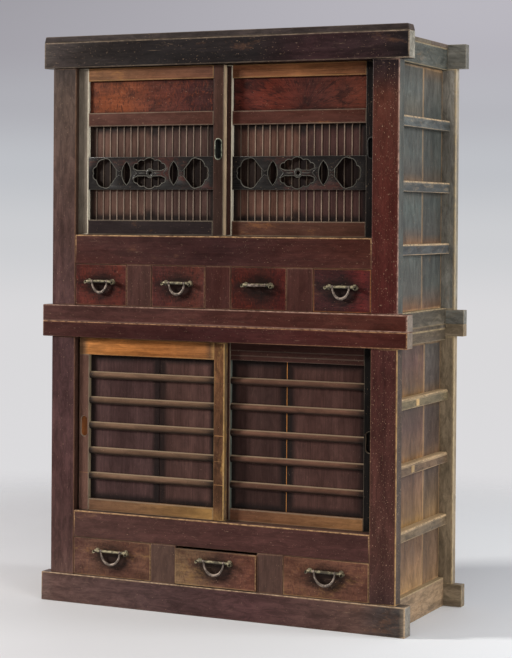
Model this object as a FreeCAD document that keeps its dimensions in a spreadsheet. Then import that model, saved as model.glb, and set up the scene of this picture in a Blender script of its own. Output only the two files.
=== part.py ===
# Two-section kitchen cabinet: an H-plan frame with overhanging rails, two pairs of
# sliding doors, four small and three large drawers, each with a bar and a swinging bail.
# X runs along the front, the front faces -Y, Z is up, and the origin is on the floor
# under the middle of the whole object.
import FreeCAD, Part
import Sketcher
import math
import os

# Driving sizes in millimetres, each written once
sizes = {
    # Outer frame
    "rail_span": 1212,
    "case_depth": 520,
    "front_frame_depth": 46,
    "back_frame_depth": 31,
    "rail_overhang": 31,
    "rail_proud": 5,
    "post_width": 82,
    "frame_ease": 1.6,
    # Heights of the front, from the floor up
    "base_rail_height": 88,
    "lower_drawer_opening": 117,
    "lower_sill_height": 82,
    "lower_door_opening": 537.5,
    "lower_head_height": 48.5,
    "upper_base_height": 50,
    "upper_drawer_opening": 128,
    "upper_sill_height": 90,
    "upper_door_opening": 515,
    "top_rail_height": 80,
    "cap_strip_height": 18.5,
    "cap_strip_slope": 5,
    # Heights of the back rails
    "back_base_height": 68,
    "back_middle_height": 60,
    "back_head_height": 37,
    "back_upper_base_height": 44,
    "back_top_height": 75,
    # Tenons of the frame
    "tenon_length": 20,
    "tenon_thickness": 14,
    "tenon_shoulder": 12,
    "tenon_clearance": 0.3,
    # Sides
    "side_board_inset": 44,
    "side_board_thickness": 10,
    "side_rail_inset": 27,
    "upper_side_joint": 273,
    "lower_side_joint": 300,
    "side_board_gap": 1.5,
    "batten_height": 32,
    "batten_proud": 26,
    "batten_round": 9,
    "upper_batten_high": 611,
    "upper_batten_middle": 420,
    "upper_batten_low": 234,
    "lower_batten_high": 656,
    "lower_batten_middle": 462,
    "lower_batten_low": 270,
    # Boards and strips inside
    "board_thickness": 12,
    "back_board_thickness": 8,
    "back_board_inset": 9,
    "plank_gap": 1.5,
    "cleat_width": 20,
    "cleat_height": 18,
    "track_depth": 26,
    "track_thickness": 25,
    "guide_width": 16,
    "guide_height": 20,
    "kicker_lap": 18,
    # Sliding doors
    "door_thickness": 22,
    "door_recess": 20,
    "door_gap": 2,
    "door_overlap": 19,
    "door_side_clearance": 0.5,
    "door_head_clearance": 1.5,
    "door_sill_clearance": 1,
    "door_ease": 1.2,
    "stile_width": 35,
    "door_tenon_length": 18,
    "door_tenon_thickness": 6,
    "door_tenon_shoulder": 6,
    "tongue_thickness": 8,
    "tongue_clearance": 0.4,
    "groove_clearance": 0.6,
    "sill_groove_depth": 5,
    "head_groove_depth": 13,
    "head_tongue": 8,
    "panel_seat": 5,
    "panel_thickness": 5,
    "panel_recess": 13,
    "burl_recess": 9,
    "upper_bottom_rail": 46.5,
    "upper_middle_rail": 41.5,
    "upper_top_rail": 41.5,
    "burl_height": 98,
    "slat_width": 6,
    "slat_depth": 5,
    "carving_height": 100,
    "carving_lift": 93,
    "carving_recess": 2,
    "carving_thickness": 6,
    "lower_bottom_rail": 37.5,
    "lower_top_rail": 54,
    "bar_height": 22,
    "bar_depth": 12,
    "bar_recess": 1,
    "bar_pitch": 78,
    "bar_seat": 5,
    "bar_centre_rise": 4,
    "lower_left_door_open": 8,
    # Finger pulls let into the stiles
    "pull_width": 22,
    "pull_height": 62,
    "pull_depth": 9,
    "pull_wall": 1,
    "pull_rim": 1.5,
    "pull_rim_thickness": 1,
    "pull_rise": 261,
    # Drawers
    "spacer_width": 85,
    "spacer_thickness": 18,
    "drawer_clearance": 1,
    "drawer_recess": 6,
    "drawer_front_thickness": 18,
    "drawer_side_thickness": 10,
    "drawer_bottom_thickness": 6,
    "drawer_back_gap": 63,
    "drawer_side_drop": 8,
    "drawer_side_inset": 1.5,
    "drawer_slide_clearance": 0.2,
    "drawer_ease": 1.2,
    "lower_middle_drawer_open": 6,
    # Drawer handles
    "upper_handle_span": 103,
    "lower_handle_span": 121,
    "upper_handle_rise": 11.5,
    "lower_handle_rise": 22,
    "handle_rod_radius": 2.5,
    "handle_standoff": 10,
    "handle_scroll_radius": 5.5,
    "handle_scroll_width": 4.4,
    "handle_shank_width": 5,
    "handle_shank_inset": 11,
    "handle_plate_radius": 8,
    "handle_plate_thickness": 2,
    "handle_shank_clearance": 0.2,
    "upper_bail_width": 52,
    "upper_bail_drop": 34,
    "lower_bail_width": 66,
    "lower_bail_drop": 39.5,
    "bail_end_radius": 2.1,
    "bail_bottom_radius": 3.6,
    "bail_eye_wall": 2.1,
    "bail_eye_length": 5,
    "bail_eye_clearance": 0.4,
}

# Counts and proportions
slat_count = 17
bar_count = 5
upper_drawer_count = 4
lower_drawer_count = 3
back_plank_count = 5
floor_plank_count = 3
bail_section_count = 13
bail_side_count = 8
bore_side_count = 12
disc_side_count = 12
slot_side_count = 16
arc_chord_count = 4

# Where the joint of the two backing boards lies, from the left
backing_joint_share = {"upper_left": 0.5, "upper_right": 0.5, "lower_left": 0.56, "lower_right": 0.42}
bar_round_share = 0.8

doc = FreeCAD.newDocument("kitchen_cabinet")
sheet = doc.addObject("Spreadsheet::Sheet", "sizes")
for row, (alias, value) in enumerate(sizes.items(), start=1):
    sheet.set("A%d" % row, alias)
    sheet.set("B%d" % row, str(value))
    sheet.setAlias("B%d" % row, alias)
doc.recompute()


class Length:
    # A length that knows both its value and the sheet formula that gives it
    def __init__(self, text, value):
        self.text = text
        self.value = value

    def joined(self, sign, other, value):
        return Length("(%s %s %s)" % (self.text, sign, other.text), value)

    def __add__(self, other):
        return self.joined("+", other, self.value + other.value)

    def __sub__(self, other):
        return self.joined("-", other, self.value - other.value)

    def __mul__(self, share):
        return Length("(%s * %r)" % (self.text, share), self.value * share)

    def __truediv__(self, count):
        return Length("(%s / %r)" % (self.text, count), self.value / count)

    def __neg__(self):
        return Length("(0 - %s)" % self.text, -self.value)


def size(alias):
    return Length("sizes.%s" % alias, float(sheet.get(alias)))


zero = Length("0", 0.0)

# Places across the width, from the middle
half_span = size("rail_span") / 2
post_outer = half_span - size("rail_overhang")
post_inner = post_outer - size("post_width")
opening_width = post_inner * 2
side_outer = post_outer - size("side_board_inset")
side_inner = side_outer - size("side_board_thickness")
side_rail_outer = post_outer - size("side_rail_inset")

# Places through the depth: the swung bail in front and the back rails set the middle
front_reach = (
    size("handle_standoff") - size("drawer_recess") + size("upper_bail_drop") + size("bail_bottom_radius")
)
front = (front_reach - size("case_depth")) / 2
post_front = front + size("rail_proud")
frame_back = front + size("front_frame_depth")
back = front + size("case_depth")
back_frame_front = back - size("back_frame_depth")
inner_depth = back_frame_front - frame_back
post_depth = size("front_frame_depth") - size("rail_proud")
track_back = frame_back + size("track_depth")
drawer_face = front + size("drawer_recess")
drawer_length = back_frame_front - drawer_face - size("drawer_back_gap")

# Places up the height
lower_drawer_floor = size("base_rail_height")
lower_sill_bottom = lower_drawer_floor + size("lower_drawer_opening")
lower_sill_top = lower_sill_bottom + size("lower_sill_height")
lower_head_bottom = lower_sill_top + size("lower_door_opening")
joint_height = lower_head_bottom + size("lower_head_height")
upper_drawer_floor = joint_height + size("upper_base_height")
upper_sill_bottom = upper_drawer_floor + size("upper_drawer_opening")
upper_sill_top = upper_sill_bottom + size("upper_sill_height")
upper_head_bottom = upper_sill_top + size("upper_door_opening")
top_rail_top = upper_head_bottom + size("top_rail_height")

pieces = {}


def move_to(made, corner):
    for axis, place in zip("xyz", corner):
        made.setExpression("Placement.Base.%s" % axis, place.text)
    return made


def board(label, corner, extent):
    # A plain sawn board or strip
    made = doc.addObject("Part::Box", label)
    for name, length in zip(("Length", "Width", "Height"), extent):
        made.setExpression(name, length.text)
    return move_to(made, corner)


def origin_plane(body, role):
    return next(plane for plane in body.Origin.OriginFeatures if plane.Role == role)


def rectangle(sketch, width, height):
    # A rectangle from the sketch's origin, held by its two lengths
    corners = ((0, 0), (width.value, 0), (width.value, height.value), (0, height.value))
    for start, end in zip(corners, corners[1:] + corners[:1]):
        sketch.addGeometry(Part.LineSegment(FreeCAD.Vector(*start, 0), FreeCAD.Vector(*end, 0)))
    for line in range(len(corners)):
        sketch.addConstraint(Sketcher.Constraint("Coincident", line, 2, (line + 1) % len(corners), 1))
    for line, kind in enumerate(("Horizontal", "Vertical", "Horizontal", "Vertical")):
        sketch.addConstraint(Sketcher.Constraint(kind, line))
    sketch.addConstraint(Sketcher.Constraint("Coincident", 0, 1, -1, 1))
    wide = sketch.addConstraint(Sketcher.Constraint("DistanceX", 0, 1, 0, 2, width.value))
    high = sketch.addConstraint(Sketcher.Constraint("DistanceY", 1, 1, 1, 2, height.value))
    sketch.setExpression("Constraints[%d]" % wide, width.text)
    sketch.setExpression("Constraints[%d]" % high, height.text)


def eased_board(label, corner, extent, ease):
    # A planed board with a small chamfer on the four arrises along its length
    body = doc.addObject("PartDesign::Body", label)
    sketch = body.newObject("Sketcher::SketchObject", label + "_outline")
    sketch.AttachmentSupport = (origin_plane(body, "XY_Plane"), [""])
    sketch.MapMode = "FlatFace"
    rectangle(sketch, extent[0], extent[1])
    pad = body.newObject("PartDesign::Pad", label + "_pad")
    pad.Profile = sketch
    pad.setExpression("Length", extent[2].text)
    doc.recompute()
    long_axis = max(range(len(extent)), key=lambda index: extent[index].value)
    names = []
    for index, edge in enumerate(pad.Shape.Edges):
        box = edge.BoundBox
        if (box.XLength, box.YLength, box.ZLength)[long_axis] > extent[long_axis].value / 2:
            names.append("Edge%d" % (index + 1))
    chamfer = body.newObject("PartDesign::Chamfer", label + "_ease")
    chamfer.Base = (pad, names)
    chamfer.setExpression("Size", ease.text)
    body.Tip = chamfer
    return move_to(body, corner)


def group(label, members):
    made = doc.addObject("Part::Compound", label)
    made.Links = members
    return made


def joined(label, members):
    made = doc.addObject("Part::MultiFuse", label)
    made.Shapes = members
    return made


def cut(label, base, tools):
    made = doc.addObject("Part::Cut", label)
    made.Base = base
    made.Tool = tools[0] if len(tools) == 1 else group(label + "_tools", tools)
    return made


def piece(name, made):
    # Registers a sub-part under the name of its file
    made.Label = name
    pieces[name] = made
    return made


def standing_tenon(label, width, centre_x, near_y, bottom, clearance=zero):
    # The tenon on a post's end, or with a clearance the mortise for it
    shoulder = size("tenon_shoulder")
    thickness = size("tenon_thickness")
    inset = (post_depth - thickness) / 2
    corner = (
        centre_x - width / 2 + shoulder - clearance,
        near_y + inset - clearance,
        bottom - clearance,
    )
    extent = (
        width - shoulder * 2 + clearance * 2,
        thickness + clearance * 2,
        size("tenon_length") + clearance * 2,
    )
    return board(label, corner, extent)


def lying_tenon(label, left, bottom, height, clearance=zero):
    # The tenon on a sill rail's end, or with a clearance the mortise for it
    shoulder = size("tenon_shoulder")
    thickness = size("tenon_thickness")
    corner = (
        left - clearance,
        post_front + (post_depth - thickness) / 2 - clearance,
        bottom + shoulder - clearance,
    )
    extent = (
        size("tenon_length") + clearance * 2,
        thickness + clearance * 2,
        height - shoulder * 2 + clearance * 2,
    )
    return board(label, corner, extent)


x_axis = FreeCAD.Vector(1, 0, 0)
y_axis = FreeCAD.Vector(0, 1, 0)


def prism(label, side_count, radius, length, corner, axis, turn):
    # A many-sided round bar from a corner at the middle of its end
    made = doc.addObject("Part::Prism", label)
    made.Polygon = side_count
    made.setExpression("Circumradius", radius.text)
    made.setExpression("Height", length.text)
    made.Placement = FreeCAD.Placement(FreeCAD.Vector(), FreeCAD.Rotation(axis, turn))
    return move_to(made, corner)


def disc(label, side_count, radius, length, corner):
    # A flat disc that lies in the front's plane, its length running backwards
    return prism(label, side_count, radius, length, corner, x_axis, -90)


def post_centres():
    middle = post_outer - size("post_width") / 2
    return {"left": -middle, "right": middle}


def front_posts(name, bottom, top, sill_bottom, sill_height):
    # The two front posts, tenoned into the rails above and below, mortised for the sill
    posts = []
    for side, centre in post_centres().items():
        label = "%s_%s" % (name, side)
        width = size("post_width")
        shaft = eased_board(
            label + "_shaft",
            (centre - width / 2, post_front, bottom),
            (width, post_depth, top - bottom),
            size("frame_ease"),
        )
        foot = standing_tenon(label + "_foot", width, centre, post_front, bottom - size("tenon_length"))
        head = standing_tenon(label + "_head", width, centre, post_front, top)
        body = joined(label + "_body", [shaft, foot, head])
        inner = -post_inner - size("tenon_length") if side == "left" else post_inner
        mortise = lying_tenon(label + "_mortise", inner, sill_bottom, sill_height, size("tenon_clearance"))
        posts.append(cut(label + "_post", body, [mortise]))
    return piece(name, group(name + "_pair", posts))


def post_mortises(label, seat, upward):
    # Mortises in a rail for both front posts; upward where the rail lies under them
    width = size("post_width")
    clearance = size("tenon_clearance")
    bottom = seat - size("tenon_length") if upward else seat
    return [
        standing_tenon("%s_%s" % (label, side), width, centre, post_front, bottom, clearance)
        for side, centre in post_centres().items()
    ]


def groove_bottom_and_depth(seat, in_head):
    depth = size("head_groove_depth") if in_head else size("sill_groove_depth")
    return (seat, depth) if in_head else (seat - depth, depth)


def tongue_front(track):
    # Front of the tongue of the door in the front track 0 or the back track 1
    step = (size("door_thickness") + size("door_gap")) * track
    return front + size("door_recess") + step + (size("door_thickness") - size("tongue_thickness")) / 2


def groove(label, seat, in_head, track):
    # The groove that a door's tongue runs in, as long as the opening
    bottom, depth = groove_bottom_and_depth(seat, in_head)
    clearance = size("groove_clearance")
    corner = (-post_inner, tongue_front(track) - clearance, bottom)
    return board(label, corner, (opening_width, size("tongue_thickness") + clearance * 2, depth))


def long_rail(name, bottom, height, mortises, cuts=()):
    # A rail across the whole front, past the posts at both ends
    blank = eased_board(
        name + "_blank",
        (-half_span, front, bottom),
        (size("rail_span"), size("front_frame_depth"), height),
        size("frame_ease"),
    )
    return piece(name, cut(name + "_cut", blank, mortises + list(cuts)))


def sill_rail(name, bottom, height):
    # The deep rail between the posts, with a groove on top for the front door
    blank = eased_board(
        name + "_blank",
        (-post_inner, post_front, bottom),
        (opening_width, post_depth, height),
        size("frame_ease"),
    )
    left = lying_tenon(name + "_left_tenon", -post_inner - size("tenon_length"), bottom, height)
    right = lying_tenon(name + "_right_tenon", post_inner, bottom, height)
    body = joined(name + "_body", [blank, left, right])
    return piece(name, cut(name + "_cut", body, [groove(name + "_groove", bottom + height, False, 0)]))


def cap_strip():
    # The strip along the front of the top, with sloped ends
    half = half_span
    slope = size("cap_strip_slope")
    height = size("cap_strip_height")
    body = doc.addObject("PartDesign::Body", "cap_strip_body")
    sketch = body.newObject("Sketcher::SketchObject", "cap_strip_outline")
    sketch.AttachmentSupport = (origin_plane(body, "XZ_Plane"), [""])
    sketch.MapMode = "FlatFace"
    corners = (
        (-half, zero),
        (half, zero),
        (half - slope, height),
        (slope - half, height),
    )
    points = [FreeCAD.Vector(x.value, z.value, 0) for x, z in corners]
    for start, end in zip(points, points[1:] + points[:1]):
        sketch.addGeometry(Part.LineSegment(start, end))
    for line in range(len(points)):
        sketch.addConstraint(Sketcher.Constraint("Coincident", line, 2, (line + 1) % len(points), 1))
    for line, (x, z) in enumerate(corners):
        across = sketch.addConstraint(Sketcher.Constraint("DistanceX", -1, 1, line, 1, x.value))
        sketch.setExpression("Constraints[%d]" % across, x.text)
        if z.value:
            rise = sketch.addConstraint(Sketcher.Constraint("DistanceY", -1, 1, line, 1, z.value))
            sketch.setExpression("Constraints[%d]" % rise, z.text)
        else:
            sketch.addConstraint(Sketcher.Constraint("PointOnObject", line, 1, -1))
    pad = body.newObject("PartDesign::Pad", "cap_strip_pad")
    pad.Profile = sketch
    pad.setExpression("Length", size("front_frame_depth").text)
    body.Tip = pad
    return piece("cap_strip", move_to(body, (zero, frame_back, top_rail_top)))


def side_rails(name, rails):
    # Rails along both sides between the front and back frames
    thickness = side_rail_outer - side_inner
    members = []
    for index, (bottom, height) in enumerate(rails):
        for side, left in (("left", -side_rail_outer), ("right", side_inner)):
            members.append(
                eased_board(
                    "%s_%d_%s" % (name, index, side),
                    (left, frame_back, bottom),
                    (thickness, inner_depth, height),
                    size("frame_ease"),
                )
            )
    return piece(name, group(name + "_set", members))


def side_boards(name, bottom, top, joint):
    # Two upright boards on each side, with a fine joint between them
    gap = size("side_board_gap")
    spans = ((frame_back, joint), (frame_back + joint + gap, inner_depth - joint - gap))
    members = []
    for index, (near, depth) in enumerate(spans):
        for side, left in (("left", -side_outer), ("right", side_inner)):
            members.append(
                board(
                    "%s_%d_%s" % (name, index, side),
                    (left, near, bottom),
                    (size("side_board_thickness"), depth, top - bottom),
                )
            )
    return piece(name, group(name + "_set", members))


def batten(label, left, outward, middle):
    # A ledge batten across a side, its outer upper edge rounded by wear
    body = doc.addObject("PartDesign::Body", label)
    sketch = body.newObject("Sketcher::SketchObject", label + "_outline")
    sketch.AttachmentSupport = (origin_plane(body, "XY_Plane"), [""])
    sketch.MapMode = "FlatFace"
    rectangle(sketch, size("batten_proud"), inner_depth)
    pad = body.newObject("PartDesign::Pad", label + "_pad")
    pad.Profile = sketch
    pad.setExpression("Length", size("batten_height").text)
    doc.recompute()
    outer = size("batten_proud").value if outward else 0.0
    top = size("batten_height").value
    names = [
        "Edge%d" % (index + 1)
        for index, edge in enumerate(pad.Shape.Edges)
        if abs(edge.CenterOfMass.x - outer) < top / 100 and abs(edge.CenterOfMass.z - top) < top / 100
    ]
    rounded = body.newObject("PartDesign::Fillet", label + "_round")
    rounded.Base = (pad, names)
    rounded.setExpression("Radius", size("batten_round").text)
    body.Tip = rounded
    return move_to(body, (left, frame_back, middle - size("batten_height") / 2))


def side_battens():
    places = (
        ("upper_high", joint_height + size("upper_batten_high")),
        ("upper_middle", joint_height + size("upper_batten_middle")),
        ("upper_low", joint_height + size("upper_batten_low")),
        ("lower_high", size("lower_batten_high")),
        ("lower_middle", size("lower_batten_middle")),
        ("lower_low", size("lower_batten_low")),
    )
    members = []
    for name, middle in places:
        members.append(batten("batten_left_" + name, -side_outer - size("batten_proud"), False, middle))
        members.append(batten("batten_right_" + name, side_outer, True, middle))
    return piece("side_battens", group("side_batten_set", members))


def back_frame(name, base_bottom, base_height, middle_bottom, head_bottom, head_height):
    # Two back posts, the rails over and under them, and a rail between them
    depth = size("back_frame_depth")
    ease = size("frame_ease")
    posts_bottom = base_bottom + base_height
    members = [
        eased_board(
            "%s_%s" % (name, place),
            (-half_span, back_frame_front, bottom),
            (size("rail_span"), depth, height),
            ease,
        )
        for place, bottom, height in (("base", base_bottom, base_height), ("head", head_bottom, head_height))
    ]
    for side, left in (("left", -post_outer), ("right", post_inner)):
        members.append(
            eased_board(
                "%s_post_%s" % (name, side),
                (left, back_frame_front, posts_bottom),
                (size("post_width"), depth, head_bottom - posts_bottom),
                ease,
            )
        )
    members.append(
        eased_board(
            name + "_middle",
            (-post_inner, back_frame_front, middle_bottom),
            (opening_width, depth, size("back_middle_height")),
            ease,
        )
    )
    return piece(name, group(name + "_set", members))


def back_boards():
    # Upright planks let into the back frames, above and below each middle rail
    middle = size("back_middle_height")
    fields = (
        ("lower_bottom", size("back_base_height"), lower_sill_bottom),
        ("lower_top", lower_sill_bottom + middle, joint_height - size("back_head_height")),
        ("upper_bottom", joint_height + size("back_upper_base_height"), upper_sill_bottom),
        ("upper_top", upper_sill_bottom + middle, top_rail_top - size("back_top_height")),
    )
    near = back_frame_front + size("back_board_inset")
    gap = size("plank_gap")
    width = (opening_width - gap * (back_plank_count - 1)) / back_plank_count
    members = []
    for name, bottom, top in fields:
        for index in range(back_plank_count):
            members.append(
                board(
                    "back_board_%s_%d" % (name, index),
                    (-post_inner + (width + gap) * index, near, bottom),
                    (width, size("back_board_thickness"), top - bottom),
                )
            )
    return piece("back_boards", group("back_board_set", members))


def planks(label, half_width, near, far, top):
    # Planks along X that make a floor or a top, with fine joints
    gap = size("plank_gap")
    depth = (far - near - gap * (floor_plank_count - 1)) / floor_plank_count
    return [
        board(
            "%s_%d" % (label, index),
            (-half_width, near + (depth + gap) * index, top - size("board_thickness")),
            (half_width * 2, depth, size("board_thickness")),
        )
        for index in range(floor_plank_count)
    ]


def cleats(label, top):
    # Strips on the sides that carry a floor's ends
    bottom = top - size("board_thickness") - size("cleat_height")
    extent = (size("cleat_width"), inner_depth, size("cleat_height"))
    left = board(label + "_left", (-side_inner, frame_back, bottom), extent)
    right = board(label + "_right", (side_inner - size("cleat_width"), frame_back, bottom), extent)
    return [left, right]


def drawer_width(count):
    return (opening_width - size("spacer_width") * (count - 1)) / count


def drawer_left(count, index):
    return -post_inner + (drawer_width(count) + size("spacer_width")) * index


def spacer_panels():
    # The fixed upright panels between the drawers
    rows = (
        ("upper", upper_drawer_count, upper_drawer_floor, size("upper_drawer_opening")),
        ("lower", lower_drawer_count, lower_drawer_floor, size("lower_drawer_opening")),
    )
    members = []
    for name, count, bottom, height in rows:
        for index in range(count - 1):
            left = drawer_left(count, index) + drawer_width(count)
            members.append(
                eased_board(
                    "spacer_%s_%d" % (name, index),
                    (left, post_front, bottom),
                    (size("spacer_width"), size("spacer_thickness"), height),
                    size("drawer_ease"),
                )
            )
    return piece("spacer_panels", group("spacer_panel_set", members))


def runner_strips(label, count, floor, ceiling):
    # Guide strips beside each drawer, and kickers over its sides that stop it tipping
    guide = size("guide_width")
    rise = size("guide_height")
    lap = size("kicker_lap")
    spacer = size("spacer_width")
    edge = side_inner - post_inner
    strips = [
        ("kicker_left", -side_inner, ceiling, edge + lap),
        ("kicker_right", post_inner - lap, ceiling, edge + lap),
        ("guide_left", -side_inner, floor, edge),
        ("guide_right", post_inner, floor, edge),
    ]
    for index in range(count - 1):
        left = drawer_left(count, index) + drawer_width(count)
        strips.append(("kicker_%d" % index, left - lap, ceiling, spacer + lap * 2))
        strips.append(("guide_%d_near" % index, left, floor, guide))
        strips.append(("guide_%d_far" % index, left + spacer - guide, floor, guide))
    return [
        board("%s_%s" % (label, name), (left, frame_back, bottom), (width, inner_depth, rise))
        for name, left, bottom, width in strips
    ]


def door_tracks():
    # Strips behind the front rails with the grooves of the back doors
    members = []
    levels = (
        ("lower_sill", lower_sill_top, False),
        ("lower_head", lower_head_bottom, True),
        ("upper_sill", upper_sill_top, False),
        ("upper_head", upper_head_bottom, True),
    )
    extent = (opening_width, size("track_depth"), size("track_thickness"))
    for name, seat, in_head in levels:
        bottom = seat if in_head else seat - size("track_thickness")
        strip = board(name + "_strip", (-post_inner, frame_back, bottom), extent)
        members.append(cut(name + "_track", strip, [groove(name + "_track_groove", seat, in_head, 1)]))
    return members


def door_width():
    return (opening_width + size("door_overlap")) / 2 - size("door_side_clearance")


def door_left(side):
    if side == "left":
        return -post_inner + size("door_side_clearance")
    return post_inner - size("door_side_clearance") - door_width()


def member_tongues(label, left, width, face, sill, head, low, high):
    # The tongues that stand out of a door member into the sill and head grooves
    thickness = size("tongue_thickness")
    tongue_y = face + (size("door_thickness") - thickness) / 2
    tongues = []
    if low:
        reach = size("sill_groove_depth") + size("door_sill_clearance") - size("tongue_clearance")
        bottom = sill + size("door_sill_clearance") - reach
        tongues.append(board(label + "_low_tongue", (left, tongue_y, bottom), (width, thickness, reach)))
    if high:
        top = head - size("door_head_clearance")
        reach = size("head_tongue") + size("door_head_clearance")
        tongues.append(board(label + "_high_tongue", (left, tongue_y, top), (width, thickness, reach)))
    return tongues


def door_frame(name, side, track, sill, head, rails, panels, pull_side, seats, shift=zero):
    # Two stiles and the rails tenoned between them, grooved for the panels
    left = door_left(side) + shift
    face = front + size("door_recess") + (size("door_thickness") + size("door_gap")) * track
    bottom = sill + size("door_sill_clearance")
    top = head - size("door_head_clearance")
    stile = size("stile_width")
    inner = door_width() - stile * 2
    thickness = size("door_thickness")
    tenon_y = face + (thickness - size("door_tenon_thickness")) / 2
    shoulder = size("door_tenon_shoulder")
    reach = size("door_tenon_length")
    clearance = size("tenon_clearance")
    seat = size("panel_seat")
    members = []
    for hand, stile_left in (("left", left), ("right", left + stile + inner)):
        label = "%s_stile_%s" % (name, hand)
        corner = (stile_left, face, bottom)
        blank = eased_board(label, corner, (stile, thickness, top - bottom), size("door_ease"))
        tongues = member_tongues(label, stile_left, stile, face, sill, head, True, True)
        body = joined(label + "_body", [blank] + tongues)
        inside = stile_left + stile if hand == "left" else stile_left
        cuts = []
        for index, (rail_bottom, rail_height) in enumerate(rails):
            mortise_left = inside - reach - clearance if hand == "left" else inside - clearance
            cuts.append(
                board(
                    "%s_mortise_%d" % (label, index),
                    (mortise_left, tenon_y - clearance, rail_bottom + shoulder - clearance),
                    (
                        reach + clearance * 2,
                        size("door_tenon_thickness") + clearance * 2,
                        rail_height - shoulder * 2 + clearance * 2,
                    ),
                )
            )
        for index, (recess, depth, low, high) in enumerate(panels):
            groove_left = inside - seat if hand == "left" else inside
            cuts.append(
                board(
                    "%s_groove_%d" % (label, index),
                    (groove_left, face + recess, low - seat),
                    (seat, depth, high - low + seat * 2),
                )
            )
        for index, middle in enumerate(seats):
            seat_left = inside - size("bar_seat") if hand == "left" else inside
            cuts.append(
                board(
                    "%s_seat_%d" % (label, index),
                    (seat_left, face + size("bar_recess"), middle - size("bar_height") / 2),
                    (size("bar_seat"), size("bar_depth"), size("bar_height")),
                )
            )
        if hand == pull_side:
            cuts.append(pull_recess(label + "_pull", stile_left + stile / 2, face, sill))
        members.append(cut(label + "_cut", body, cuts))
    for index, (rail_bottom, rail_height) in enumerate(rails):
        label = "%s_rail_%d" % (name, index)
        first = index == 0
        last = index == len(rails) - 1
        corner = (left + stile, face, rail_bottom)
        blank = eased_board(label, corner, (inner, thickness, rail_height), size("door_ease"))
        tongues = member_tongues(label, left + stile, inner, face, sill, head, first, last)
        for hand, tenon_left in (("left", left + stile - reach), ("right", left + stile + inner)):
            tongues.append(
                board(
                    "%s_tenon_%s" % (label, hand),
                    (tenon_left, tenon_y, rail_bottom + shoulder),
                    (reach, size("door_tenon_thickness"), rail_height - shoulder * 2),
                )
            )
        body = joined(label + "_body", [blank] + tongues)
        cuts = []
        for number, (recess, depth, low, high) in enumerate(panels):
            cuts.append(
                board(
                    "%s_groove_%d" % (label, number),
                    (left + stile - seat, face + recess, low - seat),
                    (inner + seat * 2, depth, high - low + seat * 2),
                )
            )
        members.append(cut(label + "_cut", body, cuts))
    return piece(name, group(name + "_set", members))


def pull_recess(label, middle_x, face, sill):
    # The long slot for a finger pull, with round ends, let into a stile's face
    middle_z = sill + size("pull_rise")
    return slot(label, middle_x, face, middle_z, size("pull_width"), size("pull_height"), size("pull_depth"))


def slot(label, middle_x, face, middle_z, width, height, depth):
    # A straight slot with many-sided half-round ends, from the face inwards
    radius = width / 2
    straight = height - width
    corner = (middle_x - radius, face, middle_z - straight / 2)
    block = board(label + "_middle", corner, (width, depth, straight))
    ends = [
        disc("%s_%s" % (label, name), slot_side_count, radius, depth, (middle_x, face, centre))
        for name, centre in (("low", middle_z - straight / 2), ("high", middle_z + straight / 2))
    ]
    return joined(label + "_slot", [block] + ends)


def pull_cup(name, side, track, sill, hand):
    # A thin metal cup with a rim, pressed into the stile's slot
    face = front + size("door_recess") + (size("door_thickness") + size("door_gap")) * track
    stile_left = door_left(side) if hand == "left" else door_left(side) + door_width() - size("stile_width")
    middle_x = stile_left + size("stile_width") / 2
    middle_z = sill + size("pull_rise")
    width = size("pull_width")
    height = size("pull_height")
    wall = size("pull_wall")
    rim = size("pull_rim")
    plate = size("pull_rim_thickness")
    rim_face = face - plate
    shell = slot(name + "_shell", middle_x, face, middle_z, width, height, size("pull_depth"))
    flange = slot(name + "_flange", middle_x, rim_face, middle_z, width + rim * 2, height + rim * 2, plate)
    body = joined(name + "_body", [shell, flange])
    hollow = slot(
        name + "_hollow",
        middle_x,
        rim_face,
        middle_z,
        width - wall * 2,
        height - wall * 2,
        size("pull_depth") + plate - wall,
    )
    return piece(name, cut(name + "_cut", body, [hollow]))


def backing_boards(name, place, inner_left, face, inner, low, high):
    # Two thin upright boards let into the frame behind the slats or bars
    seat = size("panel_seat")
    gap = size("plank_gap")
    share = backing_joint_share[place]
    span = inner + seat * 2 - gap
    widths = (span * share, span * (1 - share))
    lefts = (inner_left - seat, inner_left - seat + widths[0] + gap)
    return [
        board(
            "%s_backing_%d" % (name, index),
            (lefts[index], face + size("panel_recess"), low - seat),
            (widths[index], size("panel_thickness"), high - low + seat * 2),
        )
        for index in range(len(widths))
    ]


def upper_rails(sill, head):
    bottom = sill + size("door_sill_clearance")
    top = head - size("door_head_clearance")
    middle_top = head - size("upper_top_rail") - size("burl_height")
    return (
        (bottom, size("upper_bottom_rail") - size("door_sill_clearance")),
        (middle_top - size("upper_middle_rail"), size("upper_middle_rail")),
        (head - size("upper_top_rail"), size("upper_top_rail") - size("door_head_clearance")),
    )


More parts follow.
